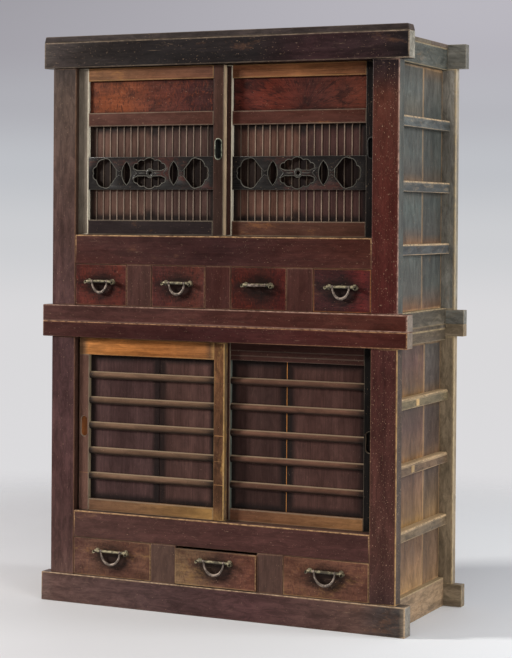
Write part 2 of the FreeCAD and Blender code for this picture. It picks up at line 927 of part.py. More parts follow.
def upper_door(side, track, pull_hand):
    # A burl panel over a field of thin slats, with a pierced board across the slats
    name = "upper_%s_door" % side
    sill = upper_sill_top
    head = upper_head_bottom
    rails = upper_rails(sill, head)
    face = front + size("door_recess") + (size("door_thickness") + size("door_gap")) * track
    low = rails[0][0] + rails[0][1]
    high = rails[1][0]
    burl_low = high + size("upper_middle_rail")
    burl_high = rails[2][0]
    panels = (
        (size("panel_recess"), size("panel_thickness"), low, high),
        (size("burl_recess"), size("panel_thickness"), burl_low, burl_high),
    )
    left = door_left(side)
    inner_left = left + size("stile_width")
    inner = door_width() - size("stile_width") * 2
    door_frame(name + "_frame", side, track, sill, head, rails, panels, pull_hand, ())
    seat = size("panel_seat")
    backing = backing_boards(name, "upper_" + side, inner_left, face, inner, low, high)
    burl = board(
        name + "_burl",
        (inner_left - seat, face + size("burl_recess"), burl_low - seat),
        (inner + seat * 2, size("panel_thickness"), burl_high - burl_low + seat * 2),
    )
    piece(name + "_panels", group(name + "_panel_set", backing + [burl]))
    pitch = inner / (slat_count + 1)
    slat_face = face + size("panel_recess") - size("slat_depth")
    slats = [
        board(
            "%s_slat_%d" % (name, index),
            (inner_left + pitch * (index + 1) - size("slat_width") / 2, slat_face, low),
            (size("slat_width"), size("slat_depth"), high - low),
        )
        for index in range(slat_count)
    ]
    piece(name + "_slats", group(name + "_slat_set", slats))
    carving_face = face + size("carving_recess")
    carved_board(name + "_carving", inner_left, carving_face, low + size("carving_lift"), inner)
    pull_cup(name + "_pull", side, track, sill, pull_hand)


# Outline of the openwork as shares of the carved board's width and height
fan_line_share = (
    (0.178, 0.88),
    (0.228, 0.62),
    (0.228, 0.38),
    (0.178, 0.12),
)
fan_arc_share = (
    ((0.150, 0.045), (0.120, 0.07)),
    ((0.084, 0.13), (0.066, 0.29)),
    ((0.046, 0.33), (0.042, 0.50)),
    ((0.046, 0.67), (0.066, 0.71)),
    ((0.084, 0.87), (0.120, 0.93)),
    ((0.150, 0.955), (0.178, 0.88)),
)
almond_share = ((0.312, 0.87), (0.272, 0.50), (0.312, 0.13), (0.348, 0.50))
lobe_share = (
    ((0.368, 0.64), (0.374, 0.77), (0.398, 0.80)),
    ((0.398, 0.80), (0.424, 0.90), (0.452, 0.885)),
    ((0.452, 0.885), (0.496, 0.975), (0.540, 0.885)),
    ((0.540, 0.885), (0.568, 0.90), (0.594, 0.80)),
    ((0.594, 0.80), (0.618, 0.77), (0.624, 0.64)),
)
bar_edge_share = ((0.624, 0.64), (0.590, 0.58), (0.402, 0.58), (0.368, 0.64))
hub_radius_share = 0.135
hub_hole_share = 0.06


def ring_of_points(centre, across, normal, radius, side_count):
    # The corners of a regular outline round a point, closed on itself
    other = normal.cross(across)
    points = []
    for index in range(side_count + 1):
        angle = 2 * math.pi * (index % side_count) / side_count
        points.append(centre + across * (radius * math.cos(angle)) + other * (radius * math.sin(angle)))
    return points


def openwork_face(width, height, mirrored_x, mirrored_z, outline):
    # A flat face in the board's plane from lines and three-point arcs given as shares,
    # each arc cut as a run of short chords
    def place(share):
        across, up = share
        across = 1 - across if mirrored_x else across
        up = 1 - up if mirrored_z else up
        return FreeCAD.Vector(across * width, 0, up * height)

    edges = []
    for stretch in outline:
        points = [place(share) for share in stretch]
        if len(points) > 2:
            points = Part.Arc(*points).discretize(Number=arc_chord_count + 1)
        for start, end in zip(points, points[1:]):
            edges.append(Part.LineSegment(start, end).toShape())
    return Part.Face(Part.Wire(Part.__sortEdges__(edges)))


def fan_outline():
    lines = [tuple(pair) for pair in zip(fan_line_share, fan_line_share[1:])]
    arcs = []
    start = fan_line_share[-1]
    for middle, end in fan_arc_share:
        arcs.append((start, middle, end))
        start = end
    return lines + arcs


def almond_outline():
    top, left, bottom, right = almond_share
    return [(top, left, bottom), (bottom, right, top)]


def lobe_outline():
    # The upper scalloped opening, closed by the edge of the bar that widens at its ends
    return list(lobe_share) + list(zip(bar_edge_share, bar_edge_share[1:]))


def carved_board(name, left, face, bottom, width):
    # The pierced board: fans, almonds and a scalloped oval split by a bar with a ring hub
    height = size("carving_height")
    thickness = size("carving_thickness")
    wide = width.value
    high = height.value
    thick = thickness.value
    through = FreeCAD.Vector(0, thick, 0)
    solid = Part.makeBox(wide, thick, high)
    faces = []
    for mirrored_x in (False, True):
        faces.append(openwork_face(wide, high, mirrored_x, False, fan_outline()))
        faces.append(openwork_face(wide, high, mirrored_x, False, almond_outline()))
    for mirrored_z in (False, True):
        faces.append(openwork_face(wide, high, False, mirrored_z, lobe_outline()))
    centre = FreeCAD.Vector(wide / 2, 0, high / 2)
    hub = ring_of_points(centre, x_axis, y_axis, hub_radius_share * high, disc_side_count)
    hole = ring_of_points(centre, x_axis, y_axis, hub_hole_share * high, disc_side_count)
    for face_shape in faces:
        solid = solid.cut(face_shape.extrude(through))
    solid = solid.fuse(Part.Face(Part.makePolygon(hub)).extrude(through)).removeSplitter()
    solid = solid.cut(Part.Face(Part.makePolygon(hole)).extrude(through))
    made = doc.addObject("Part::Feature", name + "_board")
    made.Shape = solid
    corner = FreeCAD.Vector(left.value, face.value, bottom.value)
    made.Placement = FreeCAD.Placement(corner, FreeCAD.Rotation())
    return piece(name, made)


def lower_rails(sill, head):
    bottom = sill + size("door_sill_clearance")
    return (
        (bottom, size("lower_bottom_rail") - size("door_sill_clearance")),
        (head - size("lower_top_rail"), size("lower_top_rail") - size("door_head_clearance")),
    )


def round_bar(label, left, face, middle_z, length):
    # A horizontal bar of rounded section, its ends let into the stiles
    height = size("bar_height")
    depth = size("bar_depth")
    body = doc.addObject("PartDesign::Body", label)
    sketch = body.newObject("Sketcher::SketchObject", label + "_outline")
    sketch.AttachmentSupport = (origin_plane(body, "XY_Plane"), [""])
    sketch.MapMode = "FlatFace"
    rectangle(sketch, length, depth)
    pad = body.newObject("PartDesign::Pad", label + "_pad")
    pad.Profile = sketch
    pad.setExpression("Length", height.text)
    doc.recompute()
    names = []
    for index, edge in enumerate(pad.Shape.Edges):
        along = edge.BoundBox.XLength > length.value / 2
        if along and edge.CenterOfMass.y < depth.value / 2:
            names.append("Edge%d" % (index + 1))
    rounded = body.newObject("PartDesign::Fillet", label + "_round")
    rounded.Base = (pad, names)
    rounded.setExpression("Radius", (depth * bar_round_share).text)
    body.Tip = rounded
    return move_to(body, (left, face, middle_z - height / 2))


def lower_door(side, track, pull_hand, shift):
    # Five round-faced bars in front of plain boards
    name = "lower_%s_door" % side
    sill = lower_sill_top
    head = lower_head_bottom
    rails = lower_rails(sill, head)
    face = front + size("door_recess") + (size("door_thickness") + size("door_gap")) * track
    low = rails[0][0] + rails[0][1]
    high = rails[1][0]
    panels = ((size("panel_recess"), size("panel_thickness"), low, high),)
    middle = (low + high) / 2 + size("bar_centre_rise")
    first = middle - size("bar_pitch") * ((bar_count - 1) / 2)
    seats = [first + size("bar_pitch") * index for index in range(bar_count)]
    door_frame(name + "_frame", side, track, sill, head, rails, panels, pull_hand, seats, shift)
    inner_left = door_left(side) + shift + size("stile_width")
    inner = door_width() - size("stile_width") * 2
    bars = [
        round_bar(
            "%s_bar_%d" % (name, index),
            inner_left - size("bar_seat"),
            face + size("bar_recess"),
            place,
            inner + size("bar_seat") * 2,
        )
        for index, place in enumerate(seats)
    ]
    piece(name + "_bars", group(name + "_bar_set", bars))
    backing = backing_boards(name, "lower_" + side, inner_left, face, inner, low, high)
    piece(name + "_panels", group(name + "_panel_set", backing))


def drawer(name, count, index, floor, opening_height, handle_span, handle_rise, pulled=zero):
    # A butted and nailed box with a thick front, pierced for the handle's two shanks
    clearance = size("drawer_clearance")
    left = drawer_left(count, index) + clearance
    width = drawer_width(count) - clearance * 2
    face = drawer_face - pulled
    thick = size("drawer_front_thickness")
    front_bottom = floor + clearance
    front_height = opening_height - clearance * 2
    corner = (left, face, front_bottom)
    blank = eased_board(name + "_front", corner, (width, thick, front_height), size("drawer_ease"))
    middle_x = left + width / 2
    handle_z = floor + opening_height / 2 + handle_rise
    reach = handle_span / 2 - size("handle_shank_inset")
    hole = size("handle_shank_width") + size("handle_shank_clearance") * 2
    hole_z = handle_z - hole / 2
    holes = [
        board("%s_hole_%s" % (name, hand), (place - hole / 2, face, hole_z), (hole, thick, hole))
        for hand, place in (("left", middle_x - reach), ("right", middle_x + reach))
    ]
    panel = cut(name + "_front_cut", blank, holes)
    inset = size("drawer_side_inset")
    side = size("drawer_side_thickness")
    base = size("drawer_bottom_thickness")
    base_z = floor + size("drawer_slide_clearance")
    side_height = opening_height - size("drawer_side_drop") - base
    length = drawer_length - thick
    box_left = left + inset
    box_width = width - inset * 2
    box_front = face + thick
    side_z = base_z + base
    right_side = box_left + box_width - side
    members = [
        panel,
        board(name + "_bottom", (box_left, box_front, base_z), (box_width, length, base)),
        board(name + "_side_left", (box_left, box_front, side_z), (side, length, side_height)),
        board(name + "_side_right", (right_side, box_front, side_z), (side, length, side_height)),
        board(
            name + "_back",
            (box_left + side, box_front + length - side, side_z),
            (box_width - side * 2, side, side_height),
        ),
    ]
    piece(name, group(name + "_box", members))
    handle(name + "_handle", middle_x, face, handle_z, handle_span, reach)
    return middle_x, face, handle_z


def handle(name, middle_x, face, middle_z, span, reach):
    # A round rod on two square shanks that pass through the drawer front, over round
    # plates, with a flat scroll curling down from each of its ends
    axis_y = face - size("handle_standoff")
    shank = size("handle_shank_width")
    plate = size("handle_plate_thickness")
    scroll = size("handle_scroll_radius")
    scroll_width = size("handle_scroll_width")
    rod_half = span / 2 - scroll
    extent = (shank, size("handle_standoff") + size("drawer_front_thickness"), shank)
    plate_radius = size("handle_plate_radius")
    solids = []
    for hand, place in (("left", middle_x - reach), ("right", middle_x + reach)):
        corner = (place - shank / 2, axis_y, middle_z - shank / 2)
        solids.append(board("%s_shank_%s" % (name, hand), corner, extent))
        corner = (place, face - plate, middle_z)
        solids.append(disc("%s_plate_%s" % (name, hand), disc_side_count, plate_radius, plate, corner))
    for hand, place in (("left", middle_x - rod_half), ("right", middle_x + rod_half)):
        corner = (place, axis_y - scroll_width / 2, middle_z + size("handle_rod_radius") - scroll)
        solids.append(disc("%s_scroll_%s" % (name, hand), disc_side_count, scroll, scroll_width, corner))
    rod_radius = size("handle_rod_radius")
    rod_corner = (middle_x - rod_half, axis_y, middle_z)
    solids.append(prism(name + "_rod", disc_side_count, rod_radius, rod_half * 2, rod_corner, y_axis, 90))
    return piece(name, joined(name + "_joined", solids))


def faceted(rings):
    # A solid whose skin is flat triangles between rings of points, with flat ends
    faces = [Part.Face(Part.makePolygon(ring)) for ring in (rings[0], rings[-1])]
    for near, far in zip(rings, rings[1:]):
        for index in range(len(near) - 1):
            a, b, c, d = near[index], near[index + 1], far[index + 1], far[index]
            faces.append(Part.Face(Part.makePolygon([a, b, c, a])))
            faces.append(Part.Face(Part.makePolygon([a, c, d, a])))
    return Part.Solid(Part.Shell(faces))


def bail(name, middle_x, face, middle_z, width, drop, swung):
    # A forged half-oval bail of many-sided section, thicker at its foot, with an eye
    # round the rod at each end
    half = (width / 2).value
    fall = drop.value
    thin = size("bail_end_radius").value
    thick = size("bail_bottom_radius").value
    bore = (size("handle_rod_radius") + size("bail_eye_clearance")).value
    eye = bore + size("bail_eye_wall").value
    length = size("bail_eye_length").value
    rings = []
    for index in range(bail_section_count):
        angle = math.pi * index / (bail_section_count - 1)
        centre = FreeCAD.Vector(-half * math.cos(angle), 0, -fall * math.sin(angle))
        along = FreeCAD.Vector(half * math.sin(angle), 0, -fall * math.cos(angle)).normalize()
        radius = thin + (thick - thin) * math.sin(angle) ** 2
        rings.append(ring_of_points(centre, y_axis, along, radius, bail_side_count))
    shape = faceted(rings)
    for side in (-1, 1):
        start = FreeCAD.Vector(side * half - length / 2, 0, 0)
        outline = Part.makePolygon(ring_of_points(start, y_axis, x_axis, eye, bore_side_count))
        shape = shape.fuse(Part.Face(outline).extrude(x_axis * length))
    for side in (-1, 1):
        start = FreeCAD.Vector(side * half - length, 0, 0)
        outline = Part.makePolygon(ring_of_points(start, y_axis, x_axis, bore, bore_side_count))
        shape = shape.cut(Part.Face(outline).extrude(x_axis * length * 2))
    made = doc.addObject("Part::Feature", name + "_form")
    made.Shape = shape
    turn = FreeCAD.Rotation(x_axis, -90 if swung else 0)
    axis_y = face - size("handle_standoff")
    made.Placement = FreeCAD.Placement(FreeCAD.Vector(middle_x.value, axis_y.value, middle_z.value), turn)
    return piece(name, made)


# Front frame, from the floor up
long_rail(
    "base_rail",
    zero,
    size("base_rail_height"),
    post_mortises("base_rail_mortise", lower_drawer_floor, True),
)
front_posts(
    "lower_posts",
    lower_drawer_floor,
    lower_head_bottom,
    lower_sill_bottom,
    size("lower_sill_height"),
)
sill_rail("lower_sill_rail", lower_sill_bottom, size("lower_sill_height"))
long_rail(
    "lower_head_rail",
    lower_head_bottom,
    size("lower_head_height"),
    post_mortises("lower_head_mortise", lower_head_bottom, False),
    [groove("lower_head_groove", lower_head_bottom, True, 0)],
)
long_rail(
    "upper_base_rail",
    joint_height,
    size("upper_base_height"),
    post_mortises("upper_base_mortise", upper_drawer_floor, True),
)
front_posts(
    "upper_posts",
    upper_drawer_floor,
    upper_head_bottom,
    upper_sill_bottom,
    size("upper_sill_height"),
)
sill_rail("upper_sill_rail", upper_sill_bottom, size("upper_sill_height"))
long_rail(
    "top_rail",
    upper_head_bottom,
    size("top_rail_height"),
    post_mortises("top_rail_mortise", upper_head_bottom, False),
    [groove("top_rail_groove", upper_head_bottom, True, 0)],
)
cap_strip()

# Sides
board_thick = size("board_thickness")
side_rails(
    "lower_side_rails",
    (
        (zero, size("base_rail_height")),
        (lower_head_bottom, size("lower_head_height") - board_thick),
    ),
)
side_rails(
    "upper_side_rails",
    (
        (joint_height, size("upper_base_height")),
        (upper_head_bottom, size("top_rail_height") - board_thick),
    ),
)
side_boards("lower_side_boards", size("base_rail_height"), lower_head_bottom, size("lower_side_joint"))
side_boards("upper_side_boards", upper_drawer_floor, upper_head_bottom, size("upper_side_joint"))
side_battens()

# Back
back_frame(
    "lower_back_frame",
    zero,
    size("back_base_height"),
    lower_sill_bottom,
    joint_height - size("back_head_height"),
    size("back_head_height"),
)
back_frame(
    "upper_back_frame",
    joint_height,
    size("back_upper_base_height"),
    upper_sill_bottom,
    top_rail_top - size("back_top_height"),
    size("back_top_height"),
)
back_boards()

# Tops and floors, with the strips that carry them
top_planks = planks("top_board", side_rail_outer, frame_back, back_frame_front, top_rail_top)
piece("top_boards", group("top_board_set", top_planks))
piece(
    "lower_floor_boards",
    group(
        "lower_floor_set",
        planks("lower_top_board", side_rail_outer, frame_back, back_frame_front, joint_height)
        + planks("lower_cupboard_floor", side_inner, track_back, back_frame_front, lower_sill_top)
        + planks("lower_drawer_board", side_inner, frame_back, back_frame_front, lower_drawer_floor)
        + cleats("lower_cupboard_cleat", lower_sill_top)
        + cleats("lower_drawer_cleat", lower_drawer_floor),
    ),
)
piece(
    "upper_floor_boards",
    group(
        "upper_floor_set",
        planks("upper_cupboard_floor", side_inner, track_back, back_frame_front, upper_sill_top)
        + planks("upper_drawer_board", side_inner, frame_back, back_frame_front, upper_drawer_floor)
        + cleats("upper_cupboard_cleat", upper_sill_top)
        + cleats("upper_drawer_cleat", upper_drawer_floor),
    ),
)
spacer_panels()
piece(
    "tracks_and_runners",
    group(
        "strip_set",
        door_tracks()
        + runner_strips("lower_runner", lower_drawer_count, lower_drawer_floor, lower_sill_bottom)
        + runner_strips("upper_runner", upper_drawer_count, upper_drawer_floor, upper_sill_bottom),
    ),
)

# Doors: the left one of each pair runs in the front track
upper_door("left", 0, "right")
upper_door("right", 1, "right")
lower_door("left", 0, "left", size("lower_left_door_open"))
lower_door("right", 1, "right", zero)

# Drawers
for number in range(upper_drawer_count):
    label = "upper_drawer_%d" % (number + 1)
    place = drawer(
        label,
        upper_drawer_count,
        number,
        upper_drawer_floor,
        size("upper_drawer_opening"),
        size("upper_handle_span"),
        size("upper_handle_rise"),
    )
    bail(label + "_bail", *place, size("upper_bail_width"), size("upper_bail_drop"), number == 2)
for number in range(lower_drawer_count):
    label = "lower_drawer_%d" % (number + 1)
    pulled = size("lower_middle_drawer_open") if number == 1 else zero
    place = drawer(
        label,
        lower_drawer_count,
        number,
        lower_drawer_floor,
        size("lower_drawer_opening"),
        size("lower_handle_span"),
        size("lower_handle_rise"),
        pulled,
    )
    bail(label + "_bail", *place, size("lower_bail_width"), size("lower_bail_drop"), False)

doc.recompute()

for made in doc.Objects:
    faults = [state for state in made.State if state in ("Invalid", "Error")]
    if faults:
        raise RuntimeError("%s failed: %s" % (made.Label, faults))
for name, made in pieces.items():
    if made.Shape.isNull() or not made.Shape.isValid() or not made.Shape.Solids:
        raise RuntimeError("%s has no valid solid" % name)

os.makedirs("parts", exist_ok=True)
for name, made in pieces.items():
    made.Shape.exportStep("parts/%s.step" % name)

whole = FreeCAD.BoundBox()
for made in pieces.values():
    whole.add(made.Shape.BoundBox)
print("nodes", len(pieces), "solids", sum(len(made.Shape.Solids) for made in pieces.values()))
print("low corner", round(whole.XMin, 3), round(whole.YMin, 3), round(whole.ZMin, 3))
print("high corner", round(whole.XMax, 3), round(whole.YMax, 3), round(whole.ZMax, 3))
print("doors", round(door_width().value, 3), "opening", round(opening_width.value, 3))
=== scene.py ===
import math
import random

import bmesh
import bpy
from mathutils import Matrix, Vector


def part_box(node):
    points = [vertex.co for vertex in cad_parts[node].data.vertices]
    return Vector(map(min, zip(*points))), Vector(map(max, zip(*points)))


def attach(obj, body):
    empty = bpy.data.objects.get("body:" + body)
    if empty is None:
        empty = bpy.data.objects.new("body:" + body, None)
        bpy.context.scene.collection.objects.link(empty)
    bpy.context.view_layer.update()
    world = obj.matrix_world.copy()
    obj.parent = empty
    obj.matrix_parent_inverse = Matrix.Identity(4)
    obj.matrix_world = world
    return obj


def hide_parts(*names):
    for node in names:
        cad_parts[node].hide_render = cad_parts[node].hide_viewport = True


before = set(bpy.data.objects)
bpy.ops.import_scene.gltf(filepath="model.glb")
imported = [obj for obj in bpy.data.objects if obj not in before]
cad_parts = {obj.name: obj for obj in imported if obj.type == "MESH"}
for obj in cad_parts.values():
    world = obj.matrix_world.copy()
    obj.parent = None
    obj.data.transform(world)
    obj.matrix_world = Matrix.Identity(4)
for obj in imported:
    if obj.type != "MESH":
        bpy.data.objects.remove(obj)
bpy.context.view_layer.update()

print("frame loaded:", len(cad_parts), "nodes")
bpy.context.scene.view_settings.view_transform = "Standard"
luck = random.Random(7)


# Small helpers
def tint(red, green, blue):  # a colour as 0 to 255 values, turned linear
    channels = []
    for value in (red, green, blue):
        share = value / 255
        channels.append(share / 12.92 if share < 0.04045 else ((share + 0.055) / 1.055) ** 2.4)
    return tuple(channels)


def deselectAll():
    if bpy.context.mode != "OBJECT":
        bpy.ops.object.mode_set(mode="OBJECT")
    bpy.ops.object.select_all(action="DESELECT")


def pickOnly(made):
    deselectAll()
    made.select_set(True)
    bpy.context.view_layer.objects.active = made


def joinAll(made, name):
    deselectAll()
    for each in made:
        each.select_set(True)
    bpy.context.view_layer.objects.active = made[0]
    if len(made) > 1:
        bpy.ops.object.join()
    whole = bpy.context.view_layer.objects.active
    whole.name = name
    whole.data.name = name
    return whole


def faceOutwards():  # the last step of a shape in edit mode
    bpy.ops.mesh.select_all(action="SELECT")
    bpy.ops.mesh.normals_make_consistent(inside=False)
    bpy.ops.object.mode_set(mode="OBJECT")


def smoothed(degrees):
    bpy.ops.object.shade_smooth_by_angle(angle=math.radians(degrees))


def boxOf(node):  # lowest and highest corner of a node as vectors
    low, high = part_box(node)
    return Vector(low), Vector(high)


def coated(made, material):
    made.data.materials.clear()
    made.data.materials.append(material)
    return made


def finished(piece, body, slotName, material, *nodes):
    if material:
        coated(piece, material)
    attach(piece, body)
    if nodes:
        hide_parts(*nodes)
    return piece


# Node laying, shared by every finish
def newMaterial(name):
    material = bpy.data.materials.new(name)
    material.use_nodes = True
    tree = material.node_tree
    return material, tree, tree.nodes["Principled BSDF"]


def put(tree, kind, inputs, **settings):
    made = tree.nodes.new(kind)
    for key, value in settings.items():
        setattr(made, key, value)
    for key, value in inputs.items():
        if isinstance(value, bpy.types.NodeSocket):
            tree.links.new(value, made.inputs[key])
        else:
            made.inputs[key].default_value = value
    return made


def attribute(tree, name, output):
    return put(tree, "ShaderNodeAttribute", {}, attribute_name=name).outputs[output]


def noise(tree, vector, stretch, detail=3.0, roughness=0.55, distortion=0.0):
    mapping = put(tree, "ShaderNodeMapping", {"Vector": vector, "Scale": stretch})
    inputs = {"Vector": mapping.outputs[0], "Scale": 1.0, "Detail": detail, "Roughness": roughness, "Distortion": distortion}
    return put(tree, "ShaderNodeTexNoise", inputs).outputs["Fac"]


def span(tree, value, fromLow, fromHigh, toLow=0.0, toHigh=1.0):
    inputs = {"Value": value, "From Min": fromLow, "From Max": fromHigh, "To Min": toLow, "To Max": toHigh}
    return put(tree, "ShaderNodeMapRange", inputs, interpolation_type="SMOOTHSTEP").outputs["Result"]


def sums(tree, operation, first, second):
    return put(tree, "ShaderNodeMath", {0: first, 1: second}, operation=operation).outputs[0]


def blend(tree, share, first, second, way="MIX"):
    made = put(tree, "ShaderNodeMix", {0: share}, data_type="RGBA", blend_type=way)
    for socket, value in ((made.inputs[6], first), (made.inputs[7], second)):
        if isinstance(value, bpy.types.NodeSocket):
            tree.links.new(value, socket)
        else:
            socket.default_value = (*value, 1.0)
    return made.outputs[2]


def greyed(tree, value):  # a grey colour from a number
    return put(tree, "ShaderNodeCombineColor", {0: value, 1: value, 2: value}).outputs[0]


def times(tree, first, second):
    return sums(tree, "MULTIPLY", first, second)


def plus(tree, first, second):
    return sums(tree, "ADD", first, second)


def lengthOf(tree, vector):
    return put(tree, "ShaderNodeVectorMath", {0: vector}, operation="LENGTH").outputs["Value"]


def riseOf(tree):  # 1 where a face looks up, -1 where it looks down
    normal = put(tree, "ShaderNodeNewGeometry", {}).outputs["Normal"]
    return put(tree, "ShaderNodeSeparateXYZ", {0: normal}).outputs[2]


def varied(tree, colour, value, reach, amount):  # a pattern brightens and darkens a colour
    share = span(tree, value, 0.5 - reach, 0.5 + reach, 1 - amount, 1 + amount)
    return blend(tree, 1.0, colour, greyed(tree, share), "MULTIPLY")


# Patterns along the grain and on a veneer's face: stretch, detail, roughness, distortion
grainPatterns = {
    "broad": ((1.6, 26, 26), 4.0, 0.6, 0.2),
    "fine": ((6, 300, 300), 3.0, 0.65, 0.0),
    "patch": ((3.2, 9, 9), 4.0, 0.6, 0.3),
    "scuff": ((60, 130, 130), 4.0, 0.7, 0.0),
    "speck": ((170, 420, 420), 2.0, 0.5, 0.0),
    "grime": ((16, 48, 48), 6.0, 0.78, 0.8),
    "scratch": ((22, 520, 520), 2.0, 0.5, 0.6),
    "smear": ((14, 40, 40), 5.0, 0.75, 1.2),
}
figurePatterns = {
    "burl": ((105, 46, 1), 5.0, 0.7, 1.4),
    "flame": ((15, 26, 1), 6.0, 0.72, 1.6),
    "waves": ((46, 130, 1), 6.0, 0.75, 2.6),
    "smudge": ((11, 21, 1), 4.0, 0.6, 0.5),
}
flameHeart = (-0.012, 0.05, 0)  # moves the point that the flames spread from
# the patch of stain and painted shadow round a handle is wider than it is high
stainAndShadowStretch = (11.5, 21, 0)  # a stain is wider than it is high
# painted shade for what faces down on a round piece
undersidePaintedShade = tint(22, 18, 17)


def grainSource(tree, look):
    # a piece of our own carries its grain, a plain board reads it from its own place
    if "run" not in look:
        return attribute(tree, "grain", "Vector"), attribute(tree, "tone", "Color"), attribute(tree, "rub", "Fac")
    spot = put(tree, "ShaderNodeTexCoord", {}).outputs["Object"]
    parts = put(tree, "ShaderNodeSeparateXYZ", {0: spot}).outputs
    order = grainOrder[look["run"]]
    plank = sums(tree, "FLOOR", sums(tree, "DIVIDE", parts["xyz".index(look["across"])], look["plank"]), 0.0)
    chance = put(tree, "ShaderNodeTexWhiteNoise", {"W": plank}, noise_dimensions="1D").outputs["Value"]
    along = plus(tree, parts[order[0]], times(tree, chance, look["slip"]))
    grain = put(tree, "ShaderNodeCombineXYZ", {0: along, 1: parts[order[1]], 2: parts[order[2]]}).outputs[0]
    return grain, blend(tree, chance, look["first"], look["second"]), None


def makeWood(name, look):
    material, tree, shader = newMaterial(name)
    grain, tone, rub = grainSource(tree, look)
    broad, fine, patch, scuff, speck, grime, scratch = (
        noise(tree, grain, *grainPatterns[kind]) for kind in ("broad", "fine", "patch", "scuff", "speck", "grime", "scratch")
    )
    # broad, fine, cloudy and grimy changes brighten and darken the tone
    colour = tone
    for value, reach, amount in (
        (broad, 0.22, "streak"), (fine, 0.22, "fibre"), (patch, 0.22, "cloud"), (grime, 0.16, "mottle"),
    ):
        colour = varied(tree, colour, value, reach, look[amount])
    if "figure" in look:
        colour = figured(tree, look, colour)
    # patches worn through to the wood
    wornAt = plus(tree, patch, times(tree, scuff, 0.3))
    worn = times(tree, span(tree, wornAt, look["wornFrom"], look["wornFrom"] + 0.12), look["wornShare"])
    colour = blend(tree, worn, colour, look["worn"])
    if "stainAndShadow" in look:
        colour = stainedAndShadowed(tree, look, colour, scuff)
    if rub:
        colour = rubbed(tree, look, colour, rub, patch, scuff)
    # pale nicks and fine scratches
    scratches = times(tree, span(tree, scratch, 0.69, 0.75), span(tree, patch, 0.5, 0.66, 0.1, 0.7))
    nicks = sums(tree, "MAXIMUM", span(tree, speck, look["nickFrom"], look["nickFrom"] + 0.05), scratches)
    nicks = times(tree, nicks, look["nickShare"])
    colour = blend(tree, nicks, colour, look["nickTone"])
    colour = dusted(tree, look, grain, colour)
    tree.links.new(colour, shader.inputs["Base Color"])
    rough = span(tree, plus(tree, patch, times(tree, fine, 0.4)), 0.5, 0.95, *look["rough"])
    tree.links.new(rough, shader.inputs["Roughness"])
    shader.inputs["Specular IOR Level"].default_value = look["gloss"]
    shader.inputs["Coat Weight"].default_value = look["coat"]
    shader.inputs["Coat Roughness"].default_value = 0.25
    height = plus(tree, times(tree, fine, 0.5), times(tree, broad, 0.5))
    for hollow in (worn, nicks):
        height = sums(tree, "SUBTRACT", height, times(tree, hollow, 0.3))
    bump = put(tree, "ShaderNodeBump", {"Height": height, "Strength": look["bump"], "Distance": 0.001})
    tree.links.new(bump.outputs[0], shader.inputs["Normal"])
    return material


def figured(tree, look, colour):
    # a veneer's burl curls, flames that spread from one point, or waves like watered silk
    spot = spread = attribute(tree, "place", "Vector")
    if look["figure"] == "flame":
        moved = put(tree, "ShaderNodeMapping", {"Vector": spot, "Location": flameHeart}).outputs[0]
        parts = put(tree, "ShaderNodeSeparateXYZ", {0: moved}).outputs
        turnAngle = sums(tree, "ARCTAN2", parts[1], parts[0])
        spread = put(tree, "ShaderNodeCombineXYZ", {0: turnAngle, 1: lengthOf(tree, moved), 2: 0.0}).outputs[0]
    figure = noise(tree, spread, *figurePatterns[look["figure"]])
    if "smudge" in look:  # broad dark clouds under the fine figure
        cloud = noise(tree, spot, *figurePatterns["smudge"])
        colour = blend(tree, span(tree, cloud, 0.5, 0.66, 0.0, look["smudge"]), colour, look["deep"])
    deep, lit = span(tree, figure, 0.5, 0.34), span(tree, figure, 0.52, 0.68)
    colour = blend(tree, times(tree, deep, look["deepShare"]), colour, look["deep"])
    return blend(tree, times(tree, lit, look["litShare"]), colour, look["lit"])


def stainedAndShadowed(tree, look, colour, scuff):
    # hands and iron have blackened the wood round the handle, and the same dark paints the handle's shadow on the front
    spot = attribute(tree, "place", "Vector")
    settings = {"Vector": spot, "Location": look["stainAndShadow"], "Scale": stainAndShadowStretch}
    moved = put(tree, "ShaderNodeMapping", settings).outputs[0]
    fray = times(tree, sums(tree, "SUBTRACT", scuff, 0.5), 0.9)
    share = span(tree, plus(tree, lengthOf(tree, moved), fray), 1.15, 0.35)
    return blend(tree, times(tree, share, look["stainAndShadowShare"]), colour, look["stainAndShadowTone"])


def rubbed(tree, look, colour, rub, patch, scuff):
    # a rubbed band along each arris comes and goes, and some arrises are worn to a bright line that also stands as a
    # painted highlight along the rounded arris
    ebb = span(tree, plus(tree, patch, times(tree, scuff, 0.5)), 0.6, 0.9, look["steady"], 1.0)
    band = times(tree, span(tree, rub, look["rubFrom"], look["rubTo"]), ebb)
    line = times(tree, span(tree, rub, 1.0, 1.5), span(tree, scuff, 0.38, 0.6, look["ebb"], look["line"]))
    share = sums(tree, "MAXIMUM", times(tree, band, look["rubShare"]), line)
    return blend(tree, share, colour, look["rubTone"])


def dusted(tree, look, grain, colour):
    # dirt smeared along the grain, dust on what faces up, and painted shade on the underside of a round piece
    if look["smear"]:
        smear = span(tree, noise(tree, grain, *grainPatterns["smear"]), 0.5, 0.72)
        colour = blend(tree, times(tree, smear, look["smear"]), colour, look["dustTone"])
    rise = riseOf(tree)
    colour = blend(tree, times(tree, span(tree, rise, 0.55, 0.95), look["dust"]), colour, look["dustTone"])
    if look["under"]:
        colour = blend(tree, span(tree, rise, 0.25, -0.6, 0.0, look["under"]), colour, undersidePaintedShade)
    return colour


